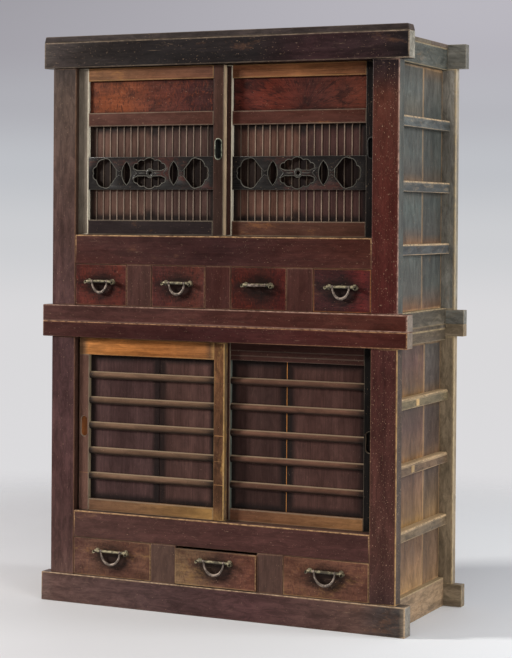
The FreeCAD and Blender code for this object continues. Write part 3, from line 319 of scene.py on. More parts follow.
grainOrder = {"x": (0, 2, 1), "y": (1, 2, 0), "z": (2, 0, 1)}
plainLook = {
    "streak": 0.16, "fibre": 0.1, "cloud": 0.14, "mottle": 0.2, "smear": 0.0, "under": 0.0,
    "worn": tint(120, 82, 58), "wornFrom": 0.78, "wornShare": 0.35,
    "rubTone": tint(150, 116, 92), "rubShare": 0.3, "rubFrom": 0.25, "rubTo": 0.95, "steady": 0.3, "ebb": 0.2, "line": 0.75,
    "nickTone": tint(176, 146, 120), "nickShare": 0.6, "nickFrom": 0.7,
    "dust": 0.25, "dustTone": tint(120, 108, 96),
    "rough": (0.32, 0.55), "gloss": 0.1, "coat": 0.0, "bump": 0.2,
}
# in burlWood and flameWood the dark rub band along the panel's edges is grime and painted shade in the recess
burl = {
    "figure": "burl", "deep": tint(40, 24, 23), "deepShare": 0.78, "lit": tint(150, 74, 40), "litShare": 0.35,
    "coat": 0.06, "smudge": 0.6, "rubTone": tint(26, 20, 20), "rubShare": 0.8, "rubFrom": 0.1, "steady": 0.7,
}
# a dark patch round each handle: stain, and the handle's painted shadow
stainAndShadow = {"stainAndShadow": (0.0, -0.02, 0.0), "stainAndShadowShare": 0.82, "stainAndShadowTone": tint(26, 22, 20)}
looks = {
    "frameLacquer": {},
    "postLacquer": {"rubTone": tint(150, 112, 84), "mottle": 0.3, "cloud": 0.22, "line": 0.5},
    "rightPostLacquer": {"rubTone": tint(206, 168, 150), "nickShare": 0.95, "nickFrom": 0.67, "mottle": 0.26},
    "lowPostLacquer": {"rubTone": tint(214, 172, 118), "nickShare": 0.95, "nickFrom": 0.66, "mottle": 0.3, "ebb": 0.35},
    "upperBaseLacquer": {"rubTone": tint(196, 158, 138), "mottle": 0.26},
    "topLacquer": {"rubTone": tint(170, 150, 128), "mottle": 0.34, "streak": 0.26, "nickShare": 0.8},
    "sillLacquer": {"rubTone": tint(206, 164, 118), "mottle": 0.24, "line": 0.8},
    "jointLacquer": {"rubTone": tint(196, 150, 110), "ebb": 0.05, "line": 0.7, "mottle": 0.24},
    "baseLacquer": {"rubTone": tint(206, 176, 142), "mottle": 0.32, "cloud": 0.2},
    "paleFrame": {
        "streak": 0.2, "cloud": 0.3, "mottle": 0.36, "smear": 0.3, "gloss": 0.08,
        "worn": tint(146, 112, 80), "wornShare": 0.35, "wornFrom": 0.8,
        "rubTone": tint(186, 164, 126), "rubShare": 0.5, "ebb": 0.3, "line": 0.85,
        "dust": 0.3, "dustTone": tint(150, 134, 108)},
    "sideWood": {
        "streak": 0.12, "cloud": 0.26, "mottle": 0.3, "smear": 0.3, "gloss": 0.08, "dust": 0.5,
        "worn": tint(150, 118, 84), "wornShare": 0.3, "wornFrom": 0.8,
        "rubTone": tint(216, 176, 130), "rubShare": 0.4, "ebb": 0.45, "line": 0.85, "nickTone": tint(176, 160, 134)},
    "battenWood": {
        "streak": 0.2, "cloud": 0.26, "mottle": 0.38, "smear": 0.25, "gloss": 0.08,
        "rubTone": tint(210, 180, 140), "rubShare": 0.6, "ebb": 0.1, "line": 0.95,
        "dust": 0.6, "dustTone": tint(196, 168, 130)},
    "doorWood": {
        "streak": 0.2, "worn": tint(150, 100, 58), "wornShare": 0.45,
        "rubTone": tint(150, 136, 116), "rubShare": 0.35, "ebb": 0.5},
    "goldWood": {
        "streak": 0.42, "fibre": 0.26, "worn": tint(176, 124, 66), "wornShare": 0.4, "wornFrom": 0.82,
        "rubTone": tint(176, 140, 92), "rubShare": 0.4},
    # paleStile: its near-white arris line is wear and a painted highlight
    "paleStile": {"streak": 0.2, "rubTone": tint(226, 216, 194), "rubShare": 0.2, "ebb": 0.8, "line": 1.0},
    # the backing's dark rub band is grime and painted shade along the door frame
    "backingWood": {
        "streak": 0.2, "fibre": 0.18, "wornShare": 0.2, "nickShare": 0.2,
        "rubTone": tint(24, 20, 19), "rubShare": 0.95, "rubFrom": 0.0, "rubTo": 0.62, "steady": 0.8},
    "slatWood": {"streak": 0.16, "rubTone": tint(140, 124, 108), "rubShare": 0.4, "wornShare": 0.2},
    "oliveWood": {
        "streak": 0.26, "mottle": 0.4, "worn": tint(176, 134, 78), "wornFrom": 0.68, "wornShare": 0.75,
        "rubTone": tint(196, 160, 104), "rubShare": 0.6, "ebb": 0.5, "line": 0.95},
    # the carving's grey rub on rims and round edges is worn lacquer and a painted highlight of its gloss
    "carvedWood": {
        "streak": 0.12, "worn": tint(84, 42, 34), "wornShare": 0.5, "wornFrom": 0.7,
        "rubTone": tint(124, 122, 112), "rubShare": 0.7, "steady": 0.5,
        "rough": (0.25, 0.45), "gloss": 0.2, "coat": 0.2, "dust": 0.2},
    # the bars: dust on their tops also serves as a painted highlight, and under paints shade on their undersides
    "barWood": {
        "streak": 0.18, "worn": tint(128, 92, 66), "rubTone": tint(150, 118, 92), "rubShare": 0.0, "wornShare": 0.3,
        "dust": 0.85, "dustTone": tint(150, 130, 106), "under": 0.75},
    "burlWood": burl,
    "flameWood": {**burl, "figure": "flame", "lit": tint(128, 54, 36), "deep": tint(24, 18, 18)},
    "drawerWood": {
        **burl, **stainAndShadow, "lit": tint(124, 52, 36), "rubTone": tint(150, 118, 90), "rubShare": 0.3, "steady": 0.3},
    "waveDrawerWood": {
        **burl, **stainAndShadow, "figure": "waves", "lit": tint(104, 44, 34), "deep": tint(24, 22, 22), "deepShare": 0.95,
        "rubTone": tint(196, 132, 78), "rubShare": 0.3, "steady": 0.3},
    "lowerDrawerWood": {
        **stainAndShadow, "streak": 0.3, "mottle": 0.3, "figure": "burl", "deep": tint(66, 36, 32), "deepShare": 0.5,
        "smudge": 0.5, "lit": tint(140, 92, 60), "litShare": 0.3, "stainAndShadowShare": 0.86,
        "rubTone": tint(190, 156, 112), "worn": tint(150, 116, 70), "wornShare": 0.5, "wornFrom": 0.72},
    "boxWood": {"gloss": 0.08, "streak": 0.2, "fibre": 0.16},
    "plankWood": {"gloss": 0.08, "streak": 0.26, "fibre": 0.2, "rubTone": tint(90, 66, 48), "rubShare": 0.5},
    "dustyWood": {"streak": 0.2, "fibre": 0.16, "dust": 0.6, "dustTone": tint(140, 132, 120)},
    "trackWood": {
        "run": "y", "across": "x", "plank": 0.2, "slip": 7.0, "first": tint(120, 90, 64), "second": tint(136, 104, 74),
        "gloss": 0.12},
}
woods = {name: makeWood(name, {**plainLook, **changes}) for name, changes in looks.items()}
print("woods ready:", len(woods))


def makeMetal(name, look):
    material, tree, shader = newMaterial(name)
    spot = put(tree, "ShaderNodeTexCoord", {}).outputs["Object"]
    cloud = noise(tree, spot, (90, 90, 90), 4.0, 0.6)
    grit = noise(tree, spot, (900, 900, 900), 3.0, 0.6)
    colour = blend(tree, span(tree, cloud, 0.4, 0.6), look["dull"], look["bright"])
    colour = blend(tree, span(tree, grit, 0.5, 0.7, 0.0, 0.7), colour, look["tarnishAndShade"])
    # painted shade darkens what faces down, and tarnish stays in the hollows
    colour = blend(tree, span(tree, riseOf(tree), 0.1, -0.8, 0.0, look["under"]), colour, look["tarnishAndShade"])
    pointed = put(tree, "ShaderNodeNewGeometry", {}).outputs["Pointiness"]
    colour = blend(tree, span(tree, pointed, 0.49, 0.44, 0.0, 0.7), colour, look["tarnishAndShade"])
    tree.links.new(colour, shader.inputs["Base Color"])
    shader.inputs["Metallic"].default_value = look["metal"]
    tree.links.new(span(tree, cloud, 0.3, 0.7, *look["rough"]), shader.inputs["Roughness"])
    bump = put(tree, "ShaderNodeBump", {"Height": grit, "Strength": 0.25, "Distance": 0.0003})
    tree.links.new(bump.outputs[0], shader.inputs["Normal"])
    return material


# under is how strongly painted shade darkens what faces down
metalLooks = {
    "agedBrass": {
        "bright": tint(168, 156, 124), "dull": tint(84, 76, 60), "tarnishAndShade": tint(26, 24, 20),
        "metal": 0.3, "rough": (0.4, 0.6), "under": 0.8},
    "wornIron": {
        "bright": tint(162, 144, 130), "dull": tint(104, 92, 82), "tarnishAndShade": tint(30, 27, 25),
        "metal": 0.3, "rough": (0.4, 0.6), "under": 0.3},
    "cupMetal": {
        "bright": tint(150, 152, 134), "dull": tint(96, 98, 84), "tarnishAndShade": tint(40, 44, 36),
        "metal": 0.5, "rough": (0.34, 0.5), "under": 0.2},
    "cupShadow": {
        "bright": tint(22, 30, 24), "dull": tint(10, 13, 11), "tarnishAndShade": tint(6, 8, 6),
        "metal": 0.1, "rough": (0.5, 0.7), "under": 0.5},
    # a darkened copy of the cup metal as painted shade, for the right door's cup
    "shadedCupMetal": {
        "bright": tint(58, 56, 50), "dull": tint(34, 32, 30), "tarnishAndShade": tint(14, 14, 13),
        "metal": 0.4, "rough": (0.4, 0.6), "under": 0.8},
}
metals = {name: makeMetal(name, look) for name, look in metalLooks.items()}

# The camera stands to the right of the front, a little above the middle
cameraSet = {
    "place": (2.5026, -5.2459, 1.1983),
    "yaw": math.radians(25.372),
    "pitch": math.radians(-0.688),
    "roll": math.radians(0.423),
    "lens": 102.70,
    "shiftY": -0.1353,
}
yaw, pitch, roll = cameraSet["yaw"], cameraSet["pitch"], cameraSet["roll"]
ahead = Vector((-math.sin(yaw) * math.cos(pitch), math.cos(yaw) * math.cos(pitch), math.sin(pitch)))
right = Vector((math.cos(yaw), math.sin(yaw), 0))
above = right.cross(ahead)
side = right * math.cos(roll) + above * math.sin(roll)
above = above * math.cos(roll) - right * math.sin(roll)
deselectAll()
bpy.ops.object.camera_add(location=cameraSet["place"])
camera = bpy.context.active_object
turn = Matrix((side, above, -ahead)).transposed()
camera.matrix_world = Matrix.Translation(cameraSet["place"]) @ turn.to_4x4()
camera.data.sensor_fit = "AUTO"
camera.data.sensor_width = 36
camera.data.lens = cameraSet["lens"]
camera.data.shift_y = cameraSet["shiftY"]
bpy.context.scene.camera = camera


# Lights and the pale studio
lights = {  # where it stands, what it looks at, its two sides, its watts and its colour
    "leftKey": ((-4.9, -2.9, 3.1), (0, -0.2, 0.9), (1.0, 1.0), 375, (1.0, 0.97, 0.93)),
    "rightKey": ((5.0, -3.5, 2.3), (0, -0.2, 0.8), (2.2, 2.2), 120, (1.0, 0.98, 0.96)),
    "sideFill": ((5.0, 1.2, 2.4), (0.5, 0, 0.9), (1.6, 2.4), 120, (0.98, 0.99, 1.0)),
    "topLight": ((0.4, -1.6, 4.6), (0, -0.1, 0.6), (2.4, 1.8), 50, (1.0, 0.98, 0.96)),
}
for name, (place, target, sides, watts, colour) in lights.items():
    bpy.ops.object.light_add(type="AREA", location=place)
    lamp = bpy.context.active_object
    lamp.name = name
    lamp.data.shape = "RECTANGLE"
    lamp.data.size, lamp.data.size_y = sides
    lamp.data.energy = watts
    lamp.data.color = colour
    lamp.rotation_euler = (Vector(target) - Vector(place)).to_track_quat("-Z", "Y").to_euler()

airSet = {  # each span: from and to in the direction, then the shares there
    "height": (-0.2, 0.2), "behind": (-0.1, 0.6, 0.06, 1.0), "aslant": (-0.62, -0.3, 0.84, 1.32), "upward": (0.02, 0.14),
    "stops": (
        (0.0, (220, 219, 221)), (0.3, (217, 216, 218)), (0.46, (204, 205, 208)), (0.6, (190, 192, 197)),
        (0.72, (176, 176, 182)), (0.82, (168, 166, 173)), (1.0, (160, 158, 164)),
    ),
}
world = bpy.data.worlds.new("studioAir")
bpy.context.scene.world = world
world.use_nodes = True
air = world.node_tree
direction = put(air, "ShaderNodeTexCoord", {}).outputs["Generated"]
airParts = put(air, "ShaderNodeSeparateXYZ", {0: direction}).outputs
airRamp = put(air, "ShaderNodeValToRGB", {0: span(air, airParts[2], *airSet["height"])})
airRamp.color_ramp.interpolation = "EASE"
while len(airRamp.color_ramp.elements) < len(airSet["stops"]):
    airRamp.color_ramp.elements.new(0.5)
for element, (share, colour) in zip(airRamp.color_ramp.elements, airSet["stops"]):
    element.position = share
    element.color = (*tint(*colour), 1)
# the room is bright behind the cabinet and dim behind the camera, and paler to the right higher up
behind = span(air, airParts[1], *airSet["behind"])
aslant = span(air, airParts[0], *airSet["aslant"])
upward = span(air, airParts[2], *airSet["upward"])
shade = blend(air, upward, (1, 1, 1), greyed(air, aslant))
airTone = blend(air, 1.0, airRamp.outputs[0], greyed(air, behind), "MULTIPLY")
airTone = blend(air, 1.0, airTone, shade, "MULTIPLY")
air.links.new(airTone, air.nodes["Background"].inputs["Color"])

floorSet = {
    "radius": 3.4, "fade": (1.7, 3.3), "clouds": (tint(217, 217, 219), tint(222, 222, 224)), "litFarTone": tint(243, 247, 250),
    "litFarSide": (-0.7, 1.3), "below": 0.0005,
}
bpy.ops.mesh.primitive_circle_add(
    vertices=96, radius=floorSet["radius"], fill_type="NGON", location=(0, 0, -floorSet["below"]))
studioFloor = bpy.context.active_object
studioFloor.name = "studioFloor"
floorFinish, tree, shader = newMaterial("floorFinish")
spot = put(tree, "ShaderNodeTexCoord", {}).outputs["Object"]
floorParts = put(tree, "ShaderNodeSeparateXYZ", {0: spot}).outputs
# painted light: the floor is paler to the right and back, where the cabinet shades it
litFarSide = span(tree, plus(tree, floorParts[0], times(tree, floorParts[1], 0.5)), *floorSet["litFarSide"])
floorTone = blend(tree, noise(tree, spot, (3, 3, 3), 3.0), *floorSet["clouds"])
floorTone = blend(tree, litFarSide, floorTone, floorSet["litFarTone"])
tree.links.new(floorTone, shader.inputs["Base Color"])
tree.links.new(span(tree, lengthOf(tree, spot), *floorSet["fade"], 1.0, 0.0), shader.inputs["Alpha"])
shader.inputs["Roughness"].default_value = 0.7
shader.inputs["Specular IOR Level"].default_value = 0.2
studioFloor.data.materials.append(floorFinish)
print("camera, lights and floor ready")


# Boards: a block with eased arrises, a worn band inside each face, and its own grain
rubBand = 0.0032  # how far a worn band reaches in from an arris
arris = rubBand  # how deep a worn front arris reaches
endDepth = 0.0004  # the skin of a board in which its end or cheek tone lies
frameEase, boardEase, boxEase, thinEase = 0.002, 0.0016, 0.0008, 0.0007
boxBand = 0.003
hair = 0.0002  # keeps two faces out of one plane


def pickFaces(made, wanted):
    bpy.ops.mesh.select_all(action="DESELECT")
    chosen = [face for face in bmesh.from_edit_mesh(made.data).faces if wanted(face)]
    for face in chosen:
        face.select_set(True)
    bmesh.update_edit_mesh(made.data)
    return len(chosen)


def pickEdges(made, wanted):
    bpy.ops.mesh.select_all(action="DESELECT")
    for edge in bmesh.from_edit_mesh(made.data).edges:
        if wanted((edge.verts[0].co + edge.verts[1].co) / 2, edge.calc_length()):
            edge.select_set(True)
    bmesh.update_edit_mesh(made.data)


def narrowSide(face):  # the narrower side of a face that lies square, or 0
    if max(abs(value) for value in face.normal) < 0.999:
        return 0
    corners = [vert.co for vert in face.verts]
    extents = sorted(max(c[axis] for c in corners) - min(c[axis] for c in corners) for axis in range(3))
    return extents[1]


def dressBoard(made, low, high, along, tones, band=rubBand, bright=(), ends=None, cheek=None):
    # writes grain, place, tone and rub on the points of a board; bright names the
    # front arrises that are worn pale all along, also a painted highlight: axis, side, strength and depth;
    # ends is the tone of the end grain, cheek that of one side: axis, side, tone
    order = grainOrder[along]
    extent = high - low
    shift = [luck.uniform(0, 9) for _ in range(3)]
    grain, place, tone, rub = [], [], [], []
    stops = tones if isinstance(tones[0][0], (int, float)) and isinstance(tones[0][1], tuple) else [(0.0, tones)]
    for vert in made.data.vertices:
        local = vert.co - low
        for row, axis in enumerate(order):
            grain.append(local[axis] + shift[row])
            place.append(local[axis] - extent[axis] / 2)
        share = local[order[0]] / extent[order[0]]
        fromEnd = min(local[order[0]], extent[order[0]] - local[order[0]])
        shade = tint(*ends) if ends and fromEnd < endDepth else toneAt(stops, share)
        if cheek:
            axis, atHigh, cheekTone = cheek
            if (extent[axis] - local[axis] if atHigh else local[axis]) < endDepth:
                shade = tint(*cheekTone)
        tone.extend((*shade, 1.0))
        gaps = sorted(min(local[axis], extent[axis] - local[axis]) for axis in range(3))
        value = max(0.0, 1 - max(gaps[1], 0) / band)
        for axis, atHigh, strength, depth in bright:
            aside = extent[axis] - local[axis] if atHigh else local[axis]
            if aside < band and (local[1] < depth if depth > 0 else extent[1] - local[1] < -depth):
                value = 1 + strength
        rub.append(value)
    mesh = made.data
    for name, kind, values, field in (
        ("grain", "FLOAT_VECTOR", grain, "vector"),
        ("place", "FLOAT_VECTOR", place, "vector"),
        ("tone", "FLOAT_COLOR", tone, "color"),
        ("rub", "FLOAT", rub, "value"),
    ):
        mesh.attributes.new(name, kind, "POINT").data.foreach_set(field, values)
    return made


def toneAt(stops, share):
    if share <= stops[0][0]:
        return tint(*stops[0][1])
    for (start, first), (end, second) in zip(stops, stops[1:]):
        if share <= end:
            mix = (share - start) / (end - start)
            return tuple(a + (b - a) * mix for a, b in zip(tint(*first), tint(*second)))
    return tint(*stops[-1][1])


def block(low, high):  # a plain block, the start of every board
    deselectAll()
    bpy.ops.mesh.primitive_cube_add(size=1, location=(low + high) / 2, scale=high - low)
    made = bpy.context.active_object
    bpy.ops.object.transform_apply(location=True, rotation=False, scale=True)
    return made


def easeAndBand(made, ease, band=rubBand, segments=2):
    # rounds every arris, then sets a worn band inside each flat face
    pickOnly(made)
    bpy.ops.object.mode_set(mode="EDIT")
    bpy.ops.mesh.select_all(action="SELECT")
    if ease:
        bpy.ops.mesh.bevel(offset=ease, segments=segments, affect="EDGES", clamp_overlap=True)
    if pickFaces(made, lambda face: narrowSide(face) > band * 2.4):
        bpy.ops.mesh.inset(thickness=band, use_individual=True)
    bpy.ops.object.mode_set(mode="OBJECT")
    return made


def sliceAt(made, low, high, along, tones):
    # a cut at each place where the tone changes along the board
    axis = grainOrder[along][0]
    pickOnly(made)
    bpy.ops.object.mode_set(mode="EDIT")
    for share, _ in tones[1:-1]:
        middle = low.lerp(high, share)
        normal = [0, 0, 0]
        normal[axis] = 1
        bpy.ops.mesh.select_all(action="SELECT")
        bpy.ops.mesh.bisect(plane_co=middle, plane_no=normal)
    bpy.ops.object.mode_set(mode="OBJECT")


def board(low, high, along, tones, ease=0.0014, band=rubBand, bright=(), ends=None, cheek=None):
    low, high = Vector(low), Vector(high)
    made = block(low, high)
    easeAndBand(made, min(ease, min(high - low) * 0.22), band)
    if len(tones) > 2 and isinstance(tones[0][1], tuple):
        sliceAt(made, low, high, along, tones)
    return dressBoard(made, low, high, along, tones, band, bright, ends, cheek)


def flat(*colour):  # one tone all along
    return [(0.0, colour), (1.0, colour)]


def planks(low, high, across, count, along, tones, gap=0.0015, ease=0.001):
    # equal planks side by side, with a gap between them
    low, high = Vector(low), Vector(high)
    axis = "xyz".index(across)
    width = (high[axis] - low[axis] - gap * (count - 1)) / count
    made = []
    for number in range(count):
        near, far = low.copy(), high.copy()
        near[axis] = low[axis] + (width + gap) * number
        far[axis] = near[axis] + width
        shares = [luck.uniform(0.88, 1.1) for _ in tones]
        whole = sum(shares) / len(shares)  # planks differ more in shade than in hue
        shade = flat(*((0.8 * whole + 0.2 * own) * value for own, value in zip(shares, tones)))
        made.append(board(near, far, along, shade, ease))
    return made


# Front rails and the cap strip; a bright arris is: axis, side, strength and depth
railSet = {
    "top_rail": {
        "tones": [(0.0, (66, 58, 54)), (0.04, (52, 44, 42)), (0.14, (40, 34, 32)), (0.3, (26, 21, 21)), (0.6, (27, 21, 21)),
                  (0.75, (48, 30, 32)), (0.93, (44, 30, 31)), (1.0, (26, 22, 23))],
        "bright": ((2, True, 0.35, arris), (2, False, 0.2, arris), (0, True, 0.8, arris)),
        "ends": (138, 134, 122), "wood": "topLacquer"},
    "upper_base_rail": {
        "tones": [(0.0, (80, 52, 48)), (0.5, (66, 36, 31)), (1.0, (74, 37, 29))],
        "bright": ((2, True, 0.35, arris), (2, False, 0.2, arris), (0, True, 0.8, arris)),
        "ends": (132, 120, 108), "wood": "upperBaseLacquer"},
    "lower_head_rail": {
        "tones": [(0.0, (67, 39, 35)), (0.5, (60, 30, 29)), (1.0, (72, 35, 29))],
        "bright": ((2, True, 0.6, arris), (0, True, 0.6, arris)),
        "ends": (126, 112, 98), "wood": "jointLacquer"},
    "base_rail": {
        "tones": [(0.0, (98, 78, 72)), (0.04, (88, 66, 61)), (0.3, (78, 58, 56)), (0.6, (80, 54, 53)), (0.88, (86, 64, 57)),
                  (0.94, (60, 52, 50)), (0.985, (58, 52, 49)), (1.0, (118, 104, 88))],
        "bright": ((2, True, 0.6, arris), (0, True, 0.9, arris)),
        "ends": (124, 118, 108), "wood": "baseLacquer"},
}
postSet = {"outer": 0.575, "width": 0.082}
openingHalf = postSet["outer"] - postSet["width"]
grooveSet = {"half": 0.0046, "sillDepth": 0.005, "headDepth": 0.013, "overrun": 0.01}
tongueMiddle = boxOf("upper_left_door_frame")[0].y + 0.011  # halfway through a front door


def combined(made, other, operation):  # cuts the other shape out, or takes it in
    pickOnly(made)
    change = made.modifiers.new("change", "BOOLEAN")
    change.operation = operation
    change.solver = "EXACT"
    change.object = other
    bpy.ops.object.modifier_apply(modifier=change.name)
    bpy.data.objects.remove(other, do_unlink=True)
    return made


def grooved(made, bottom, top):  # the groove that the front door's tongue runs in
    half, overrun = grooveSet["half"], grooveSet["overrun"]
    fitsBetween = made.dimensions.x < openingHalf * 2 + overrun
    past = openingHalf + (overrun if fitsBetween else 0)
    cutter = block(Vector((-past, tongueMiddle - half, bottom)), Vector((past, tongueMiddle + half, top)))
    return combined(made, cutter, "DIFFERENCE")


for node, look in railSet.items():
    low, high = boxOf(node)
    made = easeAndBand(block(low, high), frameEase)
    sliceAt(made, low, high, "x", look["tones"])
    if node in ("top_rail", "lower_head_rail"):
        grooved(made, low.z - grooveSet["overrun"], low.z + grooveSet["headDepth"])
    dressBoard(made, low, high, "x", look["tones"], rubBand, look["bright"], look["ends"])
    finished(made, "carcass", "frame_lacquer", woods[look["wood"]], node).name = node + "_board"

capSet = {"slope": 0.005, "band": 0.004, "tone": (56, 48, 46), "ends": (120, 116, 108)}
low, high = boxOf("cap_strip")
cap = block(low, high)
bpy.ops.object.mode_set(mode="EDIT")
pickFaces(cap, lambda face: face.normal.z > 0.9)
bpy.ops.transform.resize(value=(1 - capSet["slope"] * 2 / (high.x - low.x), 1, 1))
bpy.ops.object.mode_set(mode="OBJECT")
easeAndBand(cap, frameEase, capSet["band"])
dressBoard(cap, low, high, "x", flat(*capSet["tone"]), capSet["band"], (), capSet["ends"])
cap.name = "cap_strip_board"
finished(cap, "carcass", "frame_lacquer", woods["topLacquer"], "cap_strip")

topRail = boxOf("top_rail")
upperBase = boxOf("upper_base_rail")
lowerHead = boxOf("lower_head_rail")
baseRail = boxOf("base_rail")
upperSill = boxOf("upper_sill_rail")
lowerSill = boxOf("lower_sill_rail")

# Front posts, left (-1) and right (1)
postLooks = {
    ("upper", -1): {
        "tones": [(0.0, (76, 52, 51)), (0.5, (80, 60, 54)), (0.85, (84, 68, 60)), (1.0, (60, 50, 46))],
        "cheek": (70, 54, 46), "worn": 0.35, "wood": "postLacquer"},
    ("upper", 1): {
        "tones": [(0.0, (77, 36, 33)), (0.5, (79, 39, 33)), (0.86, (82, 46, 37)), (0.93, (54, 36, 34)), (1.0, (34, 27, 29))],
        "cheek": (80, 82, 77), "worn": 0.5, "wood": "rightPostLacquer"},
    ("lower", -1): {
        "tones": [(0.0, (92, 68, 62)), (0.1, (82, 58, 54)), (0.5, (78, 53, 52)), (1.0, (74, 52, 52))],
        "cheek": (72, 50, 42), "worn": 0.35, "wood": "postLacquer"},
    ("lower", 1): {
        "tones": [(0.0, (62, 42, 39)), (0.2, (74, 46, 40)), (0.6, (72, 42, 37)), (1.0, (70, 38, 35))],
        "cheek": (76, 64, 56), "worn": 0.5, "wood": "lowPostLacquer"},
}
sections = (("upper", upperBase[1].z, topRail[0].z), ("lower", baseRail[1].z, lowerHead[0].z))
for part, bottom, top in sections:
    node = part + "_posts"
    nodeLow, nodeHigh = boxOf(node)
    made = []
    for hand in (-1, 1):
        look = postLooks[part, hand]
        edges = sorted((hand * postSet["outer"], hand * openingHalf))
        low, high = (edges[0], nodeLow.y, bottom), (edges[1], nodeHigh.y, top)
        bright, cheek = ((0, True, look["worn"], arris),), (0, True, look["cheek"])
        one = board(low, high, "z", look["tones"], frameEase, rubBand, bright, None, cheek)
        made.append(coated(one, woods[look["wood"]]))
    finished(joinAll(made, node + "_boards"), "carcass", "frame_lacquer", None, node)

# Sill rails between the posts, each with the front door's groove
sillTones = {
    "upper_sill_rail": [(0.0, (67, 38, 34)), (0.5, (53, 29, 28)), (1.0, (75, 41, 34))],
    "lower_sill_rail": [(0.0, (77, 53, 48)), (0.5, (76, 48, 44)), (1.0, (75, 47, 43))],
}
for node, tones in sillTones.items():
    low, high = boxOf(node)
    low.x, high.x = -openingHalf, openingHalf
    made = easeAndBand(block(low, high), frameEase)
    sliceAt(made, low, high, "x", tones)
    grooved(made, high.z - grooveSet["sillDepth"], high.z + grooveSet["overrun"])
    dressBoard(made, low, high, "x", tones, rubBand, ((2, True, 0.9, arris),))
    finished(made, "carcass", "frame_lacquer", woods["sillLacquer"], node).name = node + "_board"
print("front frame ready")

# Spacer panels between the drawers
drawerClearance = 0.001
spacerThickness = 0.018
spacerTones = {"upper": [(75, 49, 44), (66, 37, 33), (71, 42, 37)], "lower": [(82, 62, 54), (75, 55, 48)]}
postFront = boxOf("upper_posts")[0].y
made = []
for part, bottom, top in (("upper", upperBase[1].z, upperSill[0].z), ("lower", baseRail[1].z, lowerSill[0].z)):
    for number, colour in enumerate(spacerTones[part], start=1):
        left = boxOf("%s_drawer_%d" % (part, number))[1].x + drawerClearance
        rightEdge = boxOf("%s_drawer_%d" % (part, number + 1))[0].x - drawerClearance
        low, high = (left, postFront, bottom), (rightEdge, postFront + spacerThickness, top)
        bright = ((0, False, 0.25, arris), (0, True, 0.25, arris))
        made.append(board(low, high, "z", flat(*colour), boardEase, rubBand, bright))
finished(joinAll(made, "spacer_boards"), "carcass", "frame_lacquer", woods["frameLacquer"], "spacer_panels")

# Sliding doors
doorSet = {
    "stile": 0.035, "sillGap": 0.001, "headGap": 0.0015, "thickness": 0.022, "panelFace": 0.013, "panelThickness": 0.005,
    "ease": 0.0016, "seat": 0.004, "joint": 0.0015, "tongue": 0.008, "tongueEase": 0.0005, "tongueTone": (96, 66, 48),
}
upperDoorSet = {
    "bottomRail": 0.0465, "middleRail": 0.0415, "topRail": 0.0415,
    "burl": 0.098, "burlFace": 0.009, "burlThickness": 0.005, "burlBand": 0.014,
}
lowerDoorSet = {"bottomRail": 0.0375, "topRail": 0.054}
pullSet = {  # finger recesses; a flare widens the mouth, bareFrom and bareTo bound the bare wood inside
    "width": 0.022, "height": 0.062, "depth": 0.009, "rise": 0.261, "before": 0.004, "mouthBefore": 0.003, "flare": 0.0016,
    "bareFrom": 0.0018, "bareTo": 0.005,
}
# cheek and farCheek tone the stiles' side faces; the pale ones are painted highlights where light falls on those sides
doorTones = {
    "upper_left_door": {
        "leftStile": flat(118, 107, 95),
        "rightStile": [(0.0, (52, 36, 31)), (0.42, (54, 38, 32)), (0.6, (72, 49, 41)), (1.0, (76, 52, 44))],
        "cheek": (236, 228, 206), "farCheek": (232, 206, 170),
        "topRail": [(0.0, (116, 80, 54)), (0.5, (98, 64, 44)), (1.0, (88, 56, 42))],
        "middleRail": flat(76, 47, 39), "bottomRail": flat(38, 29, 29),
        "backing": [(78, 57, 49), (70, 52, 47)], "slats": (124, 108, 96),
        "burl": [(0.0, (92, 52, 40)), (0.08, (122, 66, 42)), (0.25, (128, 68, 40)), (0.5, (96, 52, 40)), (0.8, (76, 40, 36)),
                 (1.0, (56, 34, 32))],
        "burlWood": "burlWood",
    },
    "upper_right_door": {
        "leftStile": flat(64, 42, 38), "rightStile": flat(24, 20, 19),
        "cheek": (240, 232, 210), "farCheek": (30, 27, 26),
        "topRail": [(0.0, (116, 72, 50)), (0.5, (142, 92, 58)), (1.0, (104, 66, 44))],
        "middleRail": flat(76, 43, 35), "bottomRail": flat(74, 47, 37),
        "backing": [(82, 57, 48), (62, 42, 39)], "slats": (122, 104, 90),
        "burl": [(0.0, (78, 38, 34)), (0.3, (104, 46, 34)), (0.6, (70, 40, 36)), (1.0, (104, 54, 40))],
        "burlWood": "flameWood",
    },
    "lower_left_door": {
        "leftStile": flat(98, 70, 60),
        "rightStile": [(0.0, (122, 90, 54)), (0.08, (80, 54, 37)), (0.5, (76, 51, 36)), (1.0, (104, 70, 46))],
        "cheek": (146, 132, 108), "farCheek": (120, 100, 78), "inside": (150, 92, 52),
        "topRail": [(0.0, (90, 66, 48)), (0.04, (112, 80, 54)), (0.07, (164, 108, 60)), (0.3, (160, 102, 54)),
                    (0.6, (148, 92, 48)), (0.93, (136, 88, 50)), (0.97, (96, 66, 44)), (1.0, (150, 112, 70))],
        "bottomRail": [(0.0, (108, 78, 58)), (0.4, (128, 94, 66)), (0.75, (142, 106, 66)), (1.0, (168, 128, 76))],
        "backing": [(70, 50, 48), (76, 53, 48)], "bars": (106, 80, 62),
    },
    "lower_right_door": {
        "leftStile": flat(62, 38, 33), "rightStile": flat(22, 19, 17),
        "cheek": (98, 104, 96), "farCheek": (30, 26, 24), "inside": None,
        "topRail": flat(62, 38, 33),
        "bottomRail": [(0.0, (106, 70, 52)), (0.6, (128, 90, 61)), (1.0, (146, 105, 68))],
        "backing": [(60, 41, 37), (72, 49, 44)], "bars": (98, 68, 54),
    },
}
backingJoints = {"upper_left_door": 0.5, "upper_right_door": 0.5, "lower_left_door": 0.56, "lower_right_door": 0.42}
